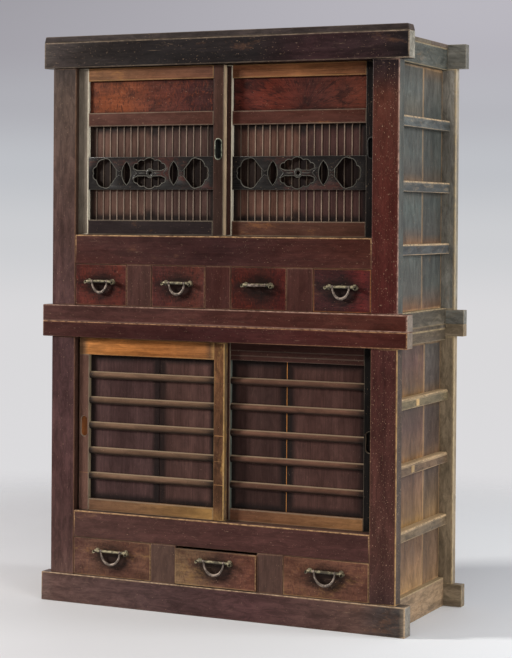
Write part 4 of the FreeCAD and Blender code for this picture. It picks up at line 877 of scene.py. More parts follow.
innerArris = (0, True, 0.4, arris)
paleEdges = ((2, True, 0.3, arris), (2, False, 0.3, arris))  # a door rail's upper and lower arris
upperDoors = ("upper_left_door", "upper_right_door")


def stadium(width, height, near, far):  # a long round-ended block, from y near to y far
    deselectAll()
    bpy.ops.mesh.primitive_cylinder_add(
        vertices=40, radius=width / 2, depth=far - near, location=(0, (near + far) / 2, 0),
        rotation=(math.radians(90), 0, 0))
    made = bpy.context.active_object
    bpy.ops.object.transform_apply(location=True, rotation=True, scale=True)
    bpy.ops.object.mode_set(mode="EDIT")
    for hand in (-1, 1):  # each half moves outwards
        pickEdges(made, lambda middle, length: middle.z * hand > 1e-5)
        bpy.ops.transform.translate(value=(0, 0, hand * (height - width) / 2))
    faceOutwards()
    return made


def movedTo(made, place):  # moves a piece's mesh, leaving its object at the origin
    pickOnly(made)
    made.location = place
    bpy.ops.object.transform_apply(location=True, rotation=True, scale=True)
    return made


def recessCutter(place, flare):
    # a deeper block under a slightly wider mouth, for a worn edge
    wide, tall = pullSet["width"], pullSet["height"]
    deep = stadium(wide, tall, -pullSet["before"], pullSet["depth"])
    if flare:
        mouth = stadium(wide + flare * 2, tall + flare * 2, -pullSet["mouthBefore"], flare)
        bevelFar(mouth, flare * 0.9)
        combined(deep, mouth, "UNION")
    return movedTo(deep, place)


def bevelFar(made, offset):
    pickOnly(made)
    far = max(vert.co.y for vert in made.data.vertices)
    bpy.ops.object.mode_set(mode="EDIT")
    pickEdges(made, lambda middle, length: abs(middle.y - far) < 1e-6)
    bpy.ops.mesh.bevel(offset=offset, segments=3, affect="EDGES", clamp_overlap=True)
    bpy.ops.object.mode_set(mode="OBJECT")


def stileBoard(low, high, tones, bright, pull, flare, cheek=None, inside=None):
    # a stile, with a finger recess at the height pull unless it is None
    if not pull:
        return board(low, high, "z", tones, doorSet["ease"], rubBand, bright, None, cheek)
    low, high = Vector(low), Vector(high)
    one = easeAndBand(block(low, high), doorSet["ease"])
    place = Vector(((low.x + high.x) / 2, low.y, pull))
    combined(one, recessCutter(place, flare), "DIFFERENCE")
    dressBoard(one, low, high, "z", tones, rubBand, bright, None, cheek)
    half = pullSet["width"] / 2
    if inside:  # bare wood in the recess
        for vert, tone in zip(one.data.vertices, one.data.attributes["tone"].data):
            within = low.y + pullSet["bareFrom"] < vert.co.y < high.y - pullSet["bareTo"]
            if within and abs(vert.co.x - place.x) < half + hair:
                tone.color = (*tint(*inside), 1)
    if flare:  # the rim of the recess is worn to bare wood
        for vert, rub in zip(one.data.vertices, one.data.attributes["rub"].data):
            pastBend = max(0.0, abs(vert.co.z - place.z) - (pullSet["height"] / 2 - half))
            fromEdge = math.hypot(vert.co.x - place.x, pastBend) - half
            if fromEdge < flare * 1.5 and low.y + hair < vert.co.y < low.y + flare * 1.2:
                rub.value = 2.0
    return one


def tongues(name, sill, head):  # the strips that run in the grooves
    nodeLow, nodeHigh = boxOf(name + "_frame")
    near = nodeLow.y + (doorSet["thickness"] - doorSet["tongue"]) / 2
    far = near + doorSet["tongue"]
    shade, ease = flat(*doorSet["tongueTone"]), doorSet["tongueEase"]
    return [
        board((nodeLow.x, near, nodeLow.z), (nodeHigh.x, far, sill + doorSet["sillGap"]), "x", shade, ease),
        board((nodeLow.x, near, head - doorSet["headGap"]), (nodeHigh.x, far, nodeHigh.z), "x", shade, ease),
    ]


# grime is how far the dark band of grime and painted shade reaches in from the frame
backingSet = {
    "grime": 0.030, "carvingShade": 0.42, "paler": 1.12, "shadeEdge": 0.005, "splitDepth": 0.002, "splitTone": (196, 132, 70),
}


def shadowBehindCarving(name, low, high, colour):
    # painted shadow: an upper door's wood is dark behind the carved board, and it is paler midway to the rails
    if not name.startswith("upper"):
        return flat(*colour)
    bottom, top = (corner.z for corner in boxOf(name + "_carving"))
    edge = backingSet["shadeEdge"]
    deep, pale = (tuple(value * backingSet[key] for value in colour) for key in ("carvingShade", "paler"))

    def share(z):
        return (z - low.z) / (high.z - low.z)

    return [(0.0, colour), (share(bottom) * 0.5, pale), (share(bottom), colour), (share(bottom + edge), deep),
            (share(top - edge), deep), (share(top), colour), ((1 + share(top)) / 2, pale), (1.0, colour)]


def backing(name, inLeft, inRight, face, low, high):
    seat, grime = doorSet["seat"], backingSet["grime"]
    joint = inLeft + (inRight - inLeft) * backingJoints[name]
    near = face + doorSet["panelFace"]
    far = near + doorSet["panelThickness"]
    gap = doorSet["joint"] / 2
    edges = ((inLeft - seat, joint - gap), (joint + gap, inRight + seat))
    made = []
    for number, ((left, rightEdge), colour) in enumerate(zip(edges, doorTones[name]["backing"])):
        lowEnd, highEnd = Vector((left, near, low - seat)), Vector((rightEdge, far, high + seat))
        one = easeAndBand(block(lowEnd, highEnd), thinEase, grime)
        # grime and painted shade gather along the frame but not at the joint
        if number:
            lowEnd.x -= grime * 2
        else:
            highEnd.x += grime * 2
        stops = shadowBehindCarving(name, lowEnd, highEnd, colour)
        sliceAt(one, lowEnd, highEnd, "z", stops)
        dressBoard(one, lowEnd, highEnd, "z", stops, grime)
        made.append(coated(one, woods["backingWood"]))
    if name == "lower_right_door":  # a split along the joint shows bare wood
        lowEnd, highEnd = (joint - gap, near - hair, low), (joint + gap, near + backingSet["splitDepth"], high)
        strip = board(lowEnd, highEnd, "z", flat(*backingSet["splitTone"]), hair, hair * 2)
        made.append(coated(strip, woods["goldWood"]))
    return made


def doorSides(name):  # left and right, outside and inside the stiles, then face and back
    nodeLow, nodeHigh = boxOf(name + "_frame")
    left, rightSide, face, stile = nodeLow.x, nodeHigh.x, nodeLow.y, doorSet["stile"]
    return left, rightSide, left + stile, rightSide - stile, face, face + doorSet["thickness"]


def framed(name, made):  # joins a door's frame, whose plain boards get the common door wood
    for each in made:
        if not each.data.materials:
            coated(each, woods["doorWood"])
    finished(joinAll(made, name + "_frame_boards"), name, "door_frame_wood", None, name + "_frame")


slatSet = {"count": 17, "width": 0.0032, "depth": 0.0020, "band": 0.0012, "outmostShade": 0.62}


def upperDoor(name):
    sill, head = upperSill[1].z, topRail[0].z
    left, rightSide, inLeft, inRight, face, back = doorSides(name)
    low, high = sill + doorSet["sillGap"], head - doorSet["headGap"]
    tones, ease = doorTones[name], doorSet["ease"]
    fieldLow = sill + upperDoorSet["bottomRail"]
    burlHigh = head - upperDoorSet["topRail"]
    burlLow = burlHigh - upperDoorSet["burl"]
    fieldHigh = burlLow - upperDoorSet["middleRail"]
    pullZ = sill + pullSet["rise"]
    made = tongues(name, sill, head)
    paleArris = (0, True, 1.0, arris)
    cheek, farCheek = (0, True, tones["cheek"]), (0, True, tones["farCheek"])
    stileLeft = stileBoard((left, face, low), (inLeft, back, high), tones["leftStile"], (paleArris,), None, 0, cheek)
    made.append(coated(stileLeft, woods["paleStile"]))
    stileLow, stileHigh = (inRight, face, low), (rightSide, back, high)
    made.append(stileBoard(stileLow, stileHigh, tones["rightStile"], (innerArris,), pullZ, 0, farCheek))
    for bottom, top, key in ((low, fieldLow, "bottomRail"), (fieldHigh, burlLow, "middleRail"), (burlHigh, high, "topRail")):
        rail = board((inLeft, face + hair, bottom), (inRight, back, top), "x", tones[key], ease, rubBand, paleEdges)
        made.append(coated(rail, woods["goldWood"]) if key == "topRail" else rail)
    framed(name, made)

    made = backing(name, inLeft, inRight, face, fieldLow, fieldHigh)
    seat, near = doorSet["seat"], face + upperDoorSet["burlFace"]
    low = (inLeft - seat, near, burlLow - seat)
    high = (inRight + seat, near + upperDoorSet["burlThickness"], burlHigh + seat)
    panel = board(low, high, "x", tones["burl"], thinEase, upperDoorSet["burlBand"])
    made.append(coated(panel, woods[tones["burlWood"]]))
    finished(joinAll(made, name + "_panel_boards"), name, "burl_and_backing_wood", None, name + "_panels")

    count, half = slatSet["count"], slatSet["width"] / 2
    pitch = (inRight - inLeft) / (count + 1)
    behind = face + doorSet["panelFace"]
    slats = []
    for number in range(count):
        middle = inLeft + pitch * (number + 1)
        low = Vector((middle - half, behind - slatSet["depth"], fieldLow))
        high = Vector((middle + half, behind, fieldHigh))
        # the outmost slats are darker: grime, and painted shade beside the stiles
        shaded = slatSet["outmostShade"] if number in (0, count - 1) else 1
        stops = shadowBehindCarving(name, low, high, tuple(value * shaded for value in tones["slats"]))
        slats.append(board(low, high, "z", stops, thinEase, slatSet["band"]))
    finished(joinAll(slats, name + "_slat_strips"), name, "slat_wood", woods["slatWood"], name + "_slats")


for name in upperDoors:
    upperDoor(name)

# Carved boards of the upper doors: fans, almonds and a scalloped oval split by a bar.
# Places are shares of the board's width and height, those of ribs from its middle.
carvingSet = {
    "round": 0.0013, "rim": 0.0013, "fanLine": ((0.178, 0.88), (0.228, 0.62), (0.228, 0.38)),
    "fanArcs": (
        ((0.178, 0.12), (0.150, 0.045), (0.120, 0.07)), ((0.120, 0.07), (0.084, 0.13), (0.066, 0.29)),
        ((0.066, 0.29), (0.046, 0.33), (0.042, 0.50)), ((0.042, 0.50), (0.046, 0.67), (0.066, 0.71)),
        ((0.066, 0.71), (0.084, 0.87), (0.120, 0.93)), ((0.120, 0.93), (0.150, 0.955), (0.178, 0.88))),
    "almond": (((0.312, 0.87), (0.272, 0.50), (0.312, 0.13)), ((0.312, 0.13), (0.348, 0.50), (0.312, 0.87))),
    "lobes": (
        ((0.368, 0.64), (0.374, 0.77), (0.398, 0.80)), ((0.398, 0.80), (0.424, 0.90), (0.452, 0.885)),
        ((0.452, 0.885), (0.496, 0.975), (0.540, 0.885)), ((0.540, 0.885), (0.568, 0.90), (0.594, 0.80)),
        ((0.594, 0.80), (0.618, 0.77), (0.624, 0.64))),
    "barEdge": ((0.624, 0.64), (0.590, 0.58), (0.402, 0.58)), "hub": 0.0135, "hubHole": 0.006,
    "steps": 7, "ringSteps": 8, "eyeSteps": 20,
    # the bar's two swellings: length, then places along it and sizes; ribs: places, sizes, how far sunk
    "swell": 0.030, "swellAt": (0.0, 0.15, 0.35, 0.6, 0.85, 1.0), "swellSizes": (0.5, 0.95, 1.25, 1.1, 0.6, 0.2),
    "ribs": (
        (((0.272, 0.12), (0.250, 0.05), (0.230, 0.10)), (0.45, 0.6, 0.45), 0.0),
        (((0.108, 0.0), (0.140, 0.16)), (0.7, 0.5), 0.0005)),
    "ribRadius": 0.0026, "swellSunk": 0.0012, "ringInset": 0.0035, "ringSunk": 0.0006, "tone": (32, 29, 28),
    # the rubs also set how strongly the grey painted highlight lies on each part
    "rubs": (0.0, 0.9, 0.5, 0.6), "roundRub": 0.7,  # how worn: plate, rims, ribs and hub ring, and the plate's round edges
}


def arcThrough(first, middle, last, steps):  # points along the circle through three
    (ax, ay), (bx, by), (cx, cy) = first, middle, last
    double = 2 * (ax * (by - cy) + bx * (cy - ay) + cx * (ay - by))
    a, b, c = ax * ax + ay * ay, bx * bx + by * by, cx * cx + cy * cy
    ux = (a * (by - cy) + b * (cy - ay) + c * (ay - by)) / double
    uy = (a * (cx - bx) + b * (ax - cx) + c * (bx - ax)) / double
    start, through, end = (math.atan2(y - uy, x - ux) for x, y in (first, middle, last))
    sweep = (end - start) % math.tau
    if (through - start) % math.tau > sweep:
        sweep -= math.tau
    return roundPoints((ux, uy), math.hypot(ax - ux, ay - uy), start, sweep, steps, steps)


def roundPoints(centre, radius, start, sweep, steps, count):  # the first count points of a sweep in steps
    angles = [start + sweep * step / steps for step in range(count)]
    return [(centre[0] + radius * math.cos(angle), centre[1] + radius * math.sin(angle)) for angle in angles]


def drawn(name, strokes, closed, **settings):
    # lines with a round or flat section, made into a mesh; a stroke is points and radii
    line = bpy.data.curves.new(name, "CURVE")
    for key, value in settings.items():
        setattr(line, key, value)
    for points, radii in strokes:
        spline = line.splines.new("POLY")
        spline.points.add(len(points) - 1)
        for knot, place, radius in zip(spline.points, points, radii):
            knot.co = (*place, 1)
            knot.radius = radius
        spline.use_cyclic_u = closed
    deselectAll()
    made = bpy.data.objects.new(name, line)
    bpy.context.collection.objects.link(made)
    pickOnly(made)
    bpy.ops.object.convert(target="MESH")
    made = bpy.context.active_object
    bpy.ops.object.mode_set(mode="EDIT")
    bpy.ops.mesh.select_all(action="SELECT")
    bpy.ops.mesh.remove_doubles(threshold=1e-6)
    faceOutwards()
    return made


def stood(made, turn=(math.radians(90), 0, 0)):  # turns a piece drawn lying down upright, facing the front
    pickOnly(made)
    made.rotation_euler = turn
    bpy.ops.object.transform_apply(location=True, rotation=True, scale=True)
    return made


def carvedBoard(name):
    low, high = boxOf(name + "_carving")
    wide, tall, thick = high.x - low.x, high.z - low.z, high.y - low.y
    steps, ringSteps, eyeSteps = (carvingSet[key] for key in ("steps", "ringSteps", "eyeSteps"))
    hub, half = carvingSet["hub"], (wide / 2, tall / 2)

    def outline(lines, arcs):
        points = [(x * wide, z * tall) for x, z in lines]
        for arc in arcs:
            points += arcThrough(*((x * wide, z * tall) for x, z in arc), steps)
        return points

    fan = outline(carvingSet["fanLine"], carvingSet["fanArcs"])
    almond = outline((), carvingSet["almond"])
    # half of the oval, whose bar swells into a ring round the hub
    lobe = outline((), carvingSet["lobes"]) + outline(carvingSet["barEdge"][:2], ())
    start = math.asin((carvingSet["barEdge"][1][1] * tall - half[1]) / hub)
    lobe += roundPoints(half, hub, start, math.pi - start * 2, ringSteps, ringSteps + 1)
    lobe += outline(carvingSet["barEdge"][2:], ())
    shapes = [fan, [(wide - x, z) for x, z in fan], almond, [(wide - x, z) for x, z in almond], lobe,
              [(x, tall - z) for x, z in lobe]]
    edge = [(0, 0), (wide, 0), (wide, tall), (0, tall)]
    eye = roundPoints(half, carvingSet["hubHole"], 0, math.tau, eyeSteps, eyeSteps)
    bend = carvingSet["round"]
    strokes = [([(x, z, 0) for x, z in shape], [1.0] * len(shape)) for shape in [edge, eye] + shapes]
    plate = drawn(name + "_openwork", strokes, True, dimensions="2D", fill_mode="BOTH", extrude=thick / 2 - bend,
                  bevel_depth=bend, bevel_resolution=2, offset=-bend)
    # round rims stand round each opening
    rimZ = thick / 2 - hair
    strokes = [([(x, z, rimZ) for x, z in shape], [1.0] * len(shape)) for shape in shapes]
    rims = drawn(name + "_rims", strokes, True, dimensions="3D", fill_mode="FULL", bevel_depth=carvingSet["rim"],
                 bevel_resolution=1)
    # two polished swellings on the bar, and ribs from the fans to the almonds
    swells = []
    for hand in (-1, 1):
        places = [half[0] + hand * (hub + share * carvingSet["swell"]) for share in carvingSet["swellAt"]]
        swells.append(([(x, half[1], rimZ - carvingSet["swellSunk"]) for x in places], carvingSet["swellSizes"]))
    for hand in (-1, 1):
        for fall in (-1, 1):
            for places, sizes, under in carvingSet["ribs"]:
                line = [(half[0] + hand * x * wide, half[1] + fall * z * tall, rimZ - under) for x, z in places]
                swells.append((line, sizes))
    ribs = drawn(name + "_ribs", swells, False, dimensions="3D", fill_mode="FULL", bevel_depth=carvingSet["ribRadius"],
                 bevel_resolution=3, use_fill_caps=True)
    deselectAll()
    bpy.ops.mesh.primitive_torus_add(
        major_radius=hub - carvingSet["ringInset"], minor_radius=carvingSet["ribRadius"],
        major_segments=28, minor_segments=10, location=(*half, rimZ - carvingSet["ringSunk"]))
    boss = bpy.context.active_object
    bpy.ops.object.transform_apply(location=True, rotation=True, scale=True)
    made = []
    for part, worn in zip((plate, rims, ribs, boss), carvingSet["rubs"]):
        movedTo(stood(part), (low.x, (low.y + high.y) / 2, low.z))
        dressBoard(part, low, high, "x", flat(*carvingSet["tone"]))
        for vert, rub in zip(part.data.vertices, part.data.attributes["rub"].data):
            onRound = low.y + bend * 0.1 < vert.co.y < low.y + bend * 0.9
            rub.value = worn if worn else (carvingSet["roundRub"] if onRound else 0.0)
        pickOnly(part)
        smoothed(40)
        made.append(part)
    finished(joinAll(made, name + "_carved_board"), name, "carved_wood", woods["carvedWood"], name + "_carving")


for name in upperDoors:
    carvedBoard(name)

# Metal finger cups let into the upper doors' right stiles
cupSet = {"rim": 0.0015, "proud": 0.001, "wall": 0.0012, "floor": 0.001, "slack": 0.0001, "hollow": 0.006, "dish": 0.002}


def fingerCup(name):
    low, high = boxOf(name + "_pull")
    middle = (low + high) / 2
    rim, proud, slack, hollow = (cupSet[key] for key in ("rim", "proud", "slack", "hollow"))
    wide, tall = pullSet["width"] + rim * 2, pullSet["height"] + rim * 2
    made = stadium(wide, tall, -proud, 0)
    bpy.ops.object.mode_set(mode="EDIT")
    pickFaces(made, lambda face: face.normal.y > 0.9)  # the body behind the rim
    bpy.ops.mesh.inset(thickness=rim + slack)
    bpy.ops.mesh.extrude_region_move(TRANSFORM_OT_translate={"value": (0, pullSet["depth"] - slack, 0)})
    pickFaces(made, lambda face: face.normal.y < -0.9)  # the hollow
    bpy.ops.mesh.inset(thickness=rim * 0.6)
    bpy.ops.transform.translate(value=(0, -hair, 0))
    bpy.ops.mesh.inset(thickness=cupSet["wall"] + rim * 0.4)
    bpy.ops.mesh.extrude_region_move(TRANSFORM_OT_translate={"value": (0, hollow, 0)})
    bpy.ops.mesh.inset(thickness=cupSet["dish"])
    bpy.ops.transform.translate(value=(0, pullSet["depth"] + proud - cupSet["floor"] - hollow, 0))
    faceOutwards()
    smoothed(35)
    face = boxOf(name + "_frame")[0].y
    movedTo(made, (middle.x, face, middle.z)).name = name + "_cup"
    made.data.name = name + "_cup"
    coated(made, metals["cupMetal" if name == "upper_left_door" else "shadedCupMetal"])
    made.data.materials.append(metals["cupShadow"])
    for each in made.data.polygons:  # the hollow gets painted shade
        each.material_index = int(each.center.y > face + hair * 2)
    finished(made, name, "pull_metal", None, name + "_pull")


for name in upperDoors:
    fingerCup(name)

# Lower doors: five round bars before plain boards
barSet = {
    "count": 5, "height": 0.022, "depth": 0.012, "recess": 0.001, "pitch": 0.078, "rise": 0.004, "seat": 0.005, "band": 0.004,
    # the bars darken towards both ends: grime, and painted shade where they meet the stiles
    "endGrimeAndShade": ((0.0, 0.35), (0.03, 0.45), (0.06, 0.85), (0.15, 1.0), (0.85, 0.95), (0.93, 0.8), (0.97, 0.45), (1.0, 0.35)),
}
# pale ends of the bars' tenons on the left door's stiles: stile, bar, share of its height, how pale
tenonMarks = (("right", 4, 0.2, 0.7), ("right", 3, 0.2, 0.75), ("right", 2, 0.1, 1.6), ("right", 1, 0.15, 1.2),
              ("right", 0, 0.5, 1.5), ("left", 0, 0.9, 1.2))
markSet = {"inset": 0.002, "half": 0.0007, "depth": 0.001, "tone": (120, 88, 58)}
grooveLines = (0.27, 0.56)  # two worn lines along the right door's top rail


def roundBar(low, high, tones):
    made = block(low, high)
    bpy.ops.object.mode_set(mode="EDIT")
    pickEdges(made, lambda middle, length: length > 0.1 and middle.y < low.y + 0.001)
    bpy.ops.mesh.bevel(offset=(high.y - low.y) * 0.8, segments=6, affect="EDGES")
    bpy.ops.object.mode_set(mode="OBJECT")
    smoothed(50)
    sliceAt(made, low, high, "x", tones)
    return dressBoard(made, low, high, "x", tones, barSet["band"])


def lowerDoor(name):
    sill, head = lowerSill[1].z, lowerHead[0].z
    left, rightSide, inLeft, inRight, face, back = doorSides(name)
    low, high = sill + doorSet["sillGap"], head - doorSet["headGap"]
    tones, ease, flare = doorTones[name], doorSet["ease"], pullSet["flare"]
    fieldLow = sill + lowerDoorSet["bottomRail"]
    fieldHigh = head - lowerDoorSet["topRail"]
    pullZ = sill + pullSet["rise"]
    isLeft = name == "lower_left_door"  # its top rail runs over the left stile
    made = tongues(name, sill, head)
    cheek, farCheek = (0, True, tones["cheek"]), (0, True, tones["farCheek"])
    stileLow, stileHigh = (left, face, low), (inLeft, back, fieldHigh if isLeft else high)
    leftPull, rightPull = (pullZ, None) if isLeft else (None, pullZ)
    made.append(stileBoard(stileLow, stileHigh, tones["leftStile"], (innerArris,), leftPull, flare, cheek, tones["inside"]))
    edge = (0, True, 0.9 if isLeft else 0.2, arris)
    stileLow, stileHigh = (inRight, face, low), (rightSide, back, high)
    stileRight = stileBoard(stileLow, stileHigh, tones["rightStile"], (edge,), rightPull, flare, farCheek)
    made.append(coated(stileRight, woods["oliveWood"]) if isLeft else stileRight)
    near = face + hair
    made.append(board((inLeft, near, low), (inRight, back, fieldLow), "x", tones["bottomRail"], ease, rubBand, paleEdges))
    if isLeft:
        rail = board((left, near, fieldHigh), (inRight, back, high), "x", tones["topRail"], ease, rubBand, paleEdges)
        made.append(coated(rail, woods["goldWood"]))
    else:
        stops = [0.0, *grooveLines, 1.0]
        for start, end in zip(stops, stops[1:]):
            bottom, top = (fieldHigh + (high - fieldHigh) * share for share in (start, end))
            made.append(board((inLeft, near, bottom), (inRight, back, top), "x", tones["topRail"], ease * 0.7))
    firstBar = (fieldLow + fieldHigh) / 2 + barSet["rise"] - barSet["pitch"] * (barSet["count"] - 1) / 2
    barMiddles = [firstBar + barSet["pitch"] * number for number in range(barSet["count"])]
    if isLeft:
        inset, half = markSet["inset"], markSet["half"]
        for hand, number, share, pale in tenonMarks:
            place = barMiddles[number] + barSet["height"] * (share - 0.5)
            start = inRight if hand == "right" else left
            markLow = (start + inset, face - hair, place - half)
            markHigh = (start + doorSet["stile"] - inset, face + markSet["depth"], place + half)
            shade = flat(*(min(255, value * pale) for value in markSet["tone"]))
            made.append(board(markLow, markHigh, "x", shade, hair, hair * 2))
    framed(name, made)

    made = backing(name, inLeft, inRight, face, fieldLow, fieldHigh)
    finished(joinAll(made, name + "_panel_boards"), name, "backing_wood", None, name + "_panels")

    bars = []
    stops = [(share, tuple(value * shade for value in tones["bars"])) for share, shade in barSet["endGrimeAndShade"]]
    for place in barMiddles:
        near, seat = face + barSet["recess"], barSet["seat"]
        low = Vector((inLeft - seat, near, place - barSet["height"] / 2))
        high = Vector((inRight + seat, near + barSet["depth"], place + barSet["height"] / 2))
        bars.append(roundBar(low, high, stops))
    finished(joinAll(bars, name + "_round_bars"), name, "bar_wood", woods["barWood"], name + "_bars")


for name in ("lower_left_door", "lower_right_door"):
    lowerDoor(name)
print("doors ready")

# Drawers: front, bottom, two sides and back
drawerSet = {
    "front": 0.018, "side": 0.010, "bottom": 0.006, "length": 0.420, "inset": 0.0015, "slide": 0.0002, "drop": 0.008,
    "boxTone": (150, 118, 88),
}
drawerTones = {
    "upper_drawer_1": [
        (0.0, (64, 34, 33)), (0.15, (92, 44, 36)), (0.5, (78, 41, 36)), (0.85, (92, 44, 36)), (1.0, (70, 36, 34))],
    "upper_drawer_2": [(0.0, (74, 40, 38)), (0.5, (77, 44, 39)), (0.85, (88, 48, 40)), (1.0, (76, 44, 40))],
    "upper_drawer_3": [(0.0, (66, 34, 30)), (0.2, (82, 38, 32)), (0.6, (66, 36, 31)), (1.0, (84, 36, 34))],
    "upper_drawer_4": [(0.0, (62, 34, 34)), (0.5, (60, 34, 34)), (0.85, (92, 36, 34)), (1.0, (72, 34, 34))],
    "lower_drawer_1": [(0.0, (92, 64, 56)), (0.3, (110, 78, 64)), (0.7, (98, 66, 54)), (1.0, (100, 70, 56))],
    "lower_drawer_2": [(0.0, (116, 92, 68)), (0.3, (106, 80, 62)), (0.6, (92, 62, 52)), (1.0, (98, 60, 48))],
    "lower_drawer_3": [(0.0, (104, 70, 54)), (0.5, (96, 64, 51)), (1.0, (90, 58, 47))],
}
sunkFronts = {"lower_drawer_2": (0.0062, 0.0022)}  # this front has dropped and shrunk, so a gap shows over it
for name, tones in drawerTones.items():
    low, high = boxOf(name)
    upper = name.startswith("upper")
    floorZ = (upperBase if upper else baseRail)[1].z
    roofZ = (upperSill if upper else lowerSill)[0].z
    thick, sideThick, baseThick = (drawerSet[key] for key in ("front", "side", "bottom"))
    wood = "waveDrawerWood" if name == "upper_drawer_4" else "drawerWood" if upper else "lowerDrawerWood"
    bright = ((2, False, 0.3, arris), (0, True, 0.4, arris))
    fall, rise = sunkFronts.get(name, (0, 0))
    frontLow = (low.x, low.y, floorZ + drawerClearance + rise)
    frontHigh = (high.x, low.y + thick, roofZ - drawerClearance - fall)
    front = coated(board(frontLow, frontHigh, "x", tones, boardEase, rubBand, bright), woods[wood])
    left, rightEdge = low.x + drawerSet["inset"], high.x - drawerSet["inset"]
    near, far = low.y + thick, low.y + drawerSet["length"]
    baseZ = floorZ + drawerSet["slide"]
    sideZ = baseZ + baseThick
    topZ = baseZ + roofZ - floorZ - drawerSet["drop"]
    boxBoards = [((left, near, baseZ), (rightEdge, far, sideZ), "x")]
    for edge in (left, rightEdge - sideThick):
        boxBoards.append(((edge, near, sideZ), (edge + sideThick, far, topZ), "y"))
    boxBoards.append(((left + sideThick, far - sideThick, sideZ), (rightEdge - sideThick, far, topZ), "x"))
    made = [front]
    for boardLow, boardHigh, along in boxBoards:
        one = board(boardLow, boardHigh, along, flat(*drawerSet["boxTone"]), boxEase, boxBand)
        made.append(coated(one, woods["boxWood"]))
    finished(joinAll(made, name + "_boards"), name + "_box", "drawer_wood", None, name)

# Handles: a rod on two shanks over round plates, its ends rolled like fern tips
handleSet = {
    "rod": 0.0025, "standoff": 0.010, "plate": 0.008, "shank": 0.005, "shankInset": 0.011, "belly": 0.0046, "neck": 0.0042,
    "roll": 0.0055, "rollOut": 0.0078, "rollWidth": 0.0046, "rollThick": 0.0018, "rollDrop": 0.0004, "rollSteps": 30,
    "turns": 1.2, "footProud": 0.001,
    # turned profiles: places along the axis and radii
    "stem": [(0, 0.0022), (0.004, 0.0022), (0.0065, 0.003), (0.0085, 0.0036)],
    "plateTurned": [(0, 0.0079), (0.001, 0.0080), (0.0016, 0.0074), (0.0014, 0.0058), (0.0021, 0.0050), (0.0026, 0.0036)],
}
bailSet = {
    "upper": (0.026, 0.034), "lower": (0.033, 0.0395), "thin": 0.0026, "thick": 0.0043, "bore": 0.0029, "wall": 0.0021,
    "eyeLength": 0.005, "eyeGap": 0.0008, "steps": 28,
}


def turnedPiece(profile, sides):  # a turned piece along z, drawn out from ring to ring
    deselectAll()
    (start, first), *rest = profile
    bpy.ops.mesh.primitive_circle_add(vertices=sides, radius=first, location=(0, 0, 0), fill_type="NGON")
    made = bpy.context.active_object
    bpy.ops.object.mode_set(mode="EDIT")
    bpy.ops.transform.translate(value=(0, 0, start))
    before = start, first
    for place, radius in rest:
        bpy.ops.mesh.extrude_region_move(TRANSFORM_OT_translate={"value": (0, 0, place - before[0])})
        bpy.ops.transform.resize(value=(radius / before[1], radius / before[1], 1))
        before = place, radius
    faceOutwards()
    smoothed(38)
    return made


def rolledTip(hand, rodHalf):  # a ribbon that winds down and in
    thick, steps = handleSet["rollThick"], handleSet["rollSteps"]
    centre = (hand * rodHalf, handleSet["rod"] - handleSet["roll"] + handleSet["rollDrop"])
    knots, radii = [], []
    for step in range(steps):
        share = step / (steps - 1)
        angle = math.pi / 2 - hand * math.tau * handleSet["turns"] * share
        reachOut = (handleSet["rollOut"] - thick) * (1 - 0.7 * share)
        knots.append((centre[0] + reachOut * math.cos(angle), centre[1] + reachOut * math.sin(angle), 0))
        radii.append(0.75 + 0.55 * math.sin(math.pi * min(1, share * 1.3)))
    return drawn("rolledTip", [(knots, radii)], False, dimensions="2D", fill_mode="BOTH", extrude=handleSet["rollWidth"],
                 bevel_depth=thick, bevel_resolution=2)


def handle(name):  # returns where the rod's middle is, for the bail
    low, high = boxOf(name + "_handle")
    face = boxOf(name)[0].y
    middleX, axisY, axisZ = (low.x + high.x) / 2, face - handleSet["standoff"], high.z - handleSet["plate"]
    rod, belly, neck, shank = (handleSet[key] for key in ("rod", "belly", "neck", "shank"))
    rodHalf = (high.x - low.x) / 2 - handleSet["roll"]
    reach = (high.x - low.x) / 2 - handleSet["shankInset"]
    # the rod swells between the bail's eyes and again over each shank
    eyeAt, gap = bailSet[name.split("_")[0]][0], bailSet["eyeLength"] * 0.5 + bailSet["eyeGap"]
    side = [(0.0, belly), (eyeAt * 0.5, belly * 0.96), (eyeAt - gap - 0.002, neck), (eyeAt - gap, rod), (eyeAt + gap, rod),
            (eyeAt + gap + 0.001, neck * 1.1), (reach, neck * 1.2), (rodHalf * 0.98, neck), (rodHalf, rod)]
    profile = [(-place, radius) for place, radius in side[:0:-1]] + side
    bar = stood(turnedPiece(profile, 16), (0, math.radians(90), 0))
    parts = [movedTo(bar, (middleX, axisY, axisZ))]
    for hand in (-1, 1):
        parts.append(movedTo(stood(rolledTip(hand, rodHalf)), (middleX, axisY, axisZ)))
        # shank, plate with a raised ring, and the square foot through the front
        shankX = middleX + hand * reach
        stem = turnedPiece(handleSet["stem"], 14)
        parts.append(movedTo(stood(stem, (math.radians(-90), 0, 0)), (shankX, axisY, axisZ)))
        plate = turnedPiece(handleSet["plateTurned"], 28)
        parts.append(movedTo(stood(plate), (shankX, face, axisZ)))
        footLow = Vector((shankX - shank / 2, face - handleSet["footProud"], axisZ - shank / 2))
        footHigh = Vector((shankX + shank / 2, face + drawerSet["front"], axisZ + shank / 2))
        parts.append(block(footLow, footHigh))
    whole = joinAll(parts, name + "_rod_and_tips")
    smoothed(38)
    finished(whole, name + "_box", "handle_metal", metals["agedBrass"], name + "_handle")
    return middleX, axisY, axisZ


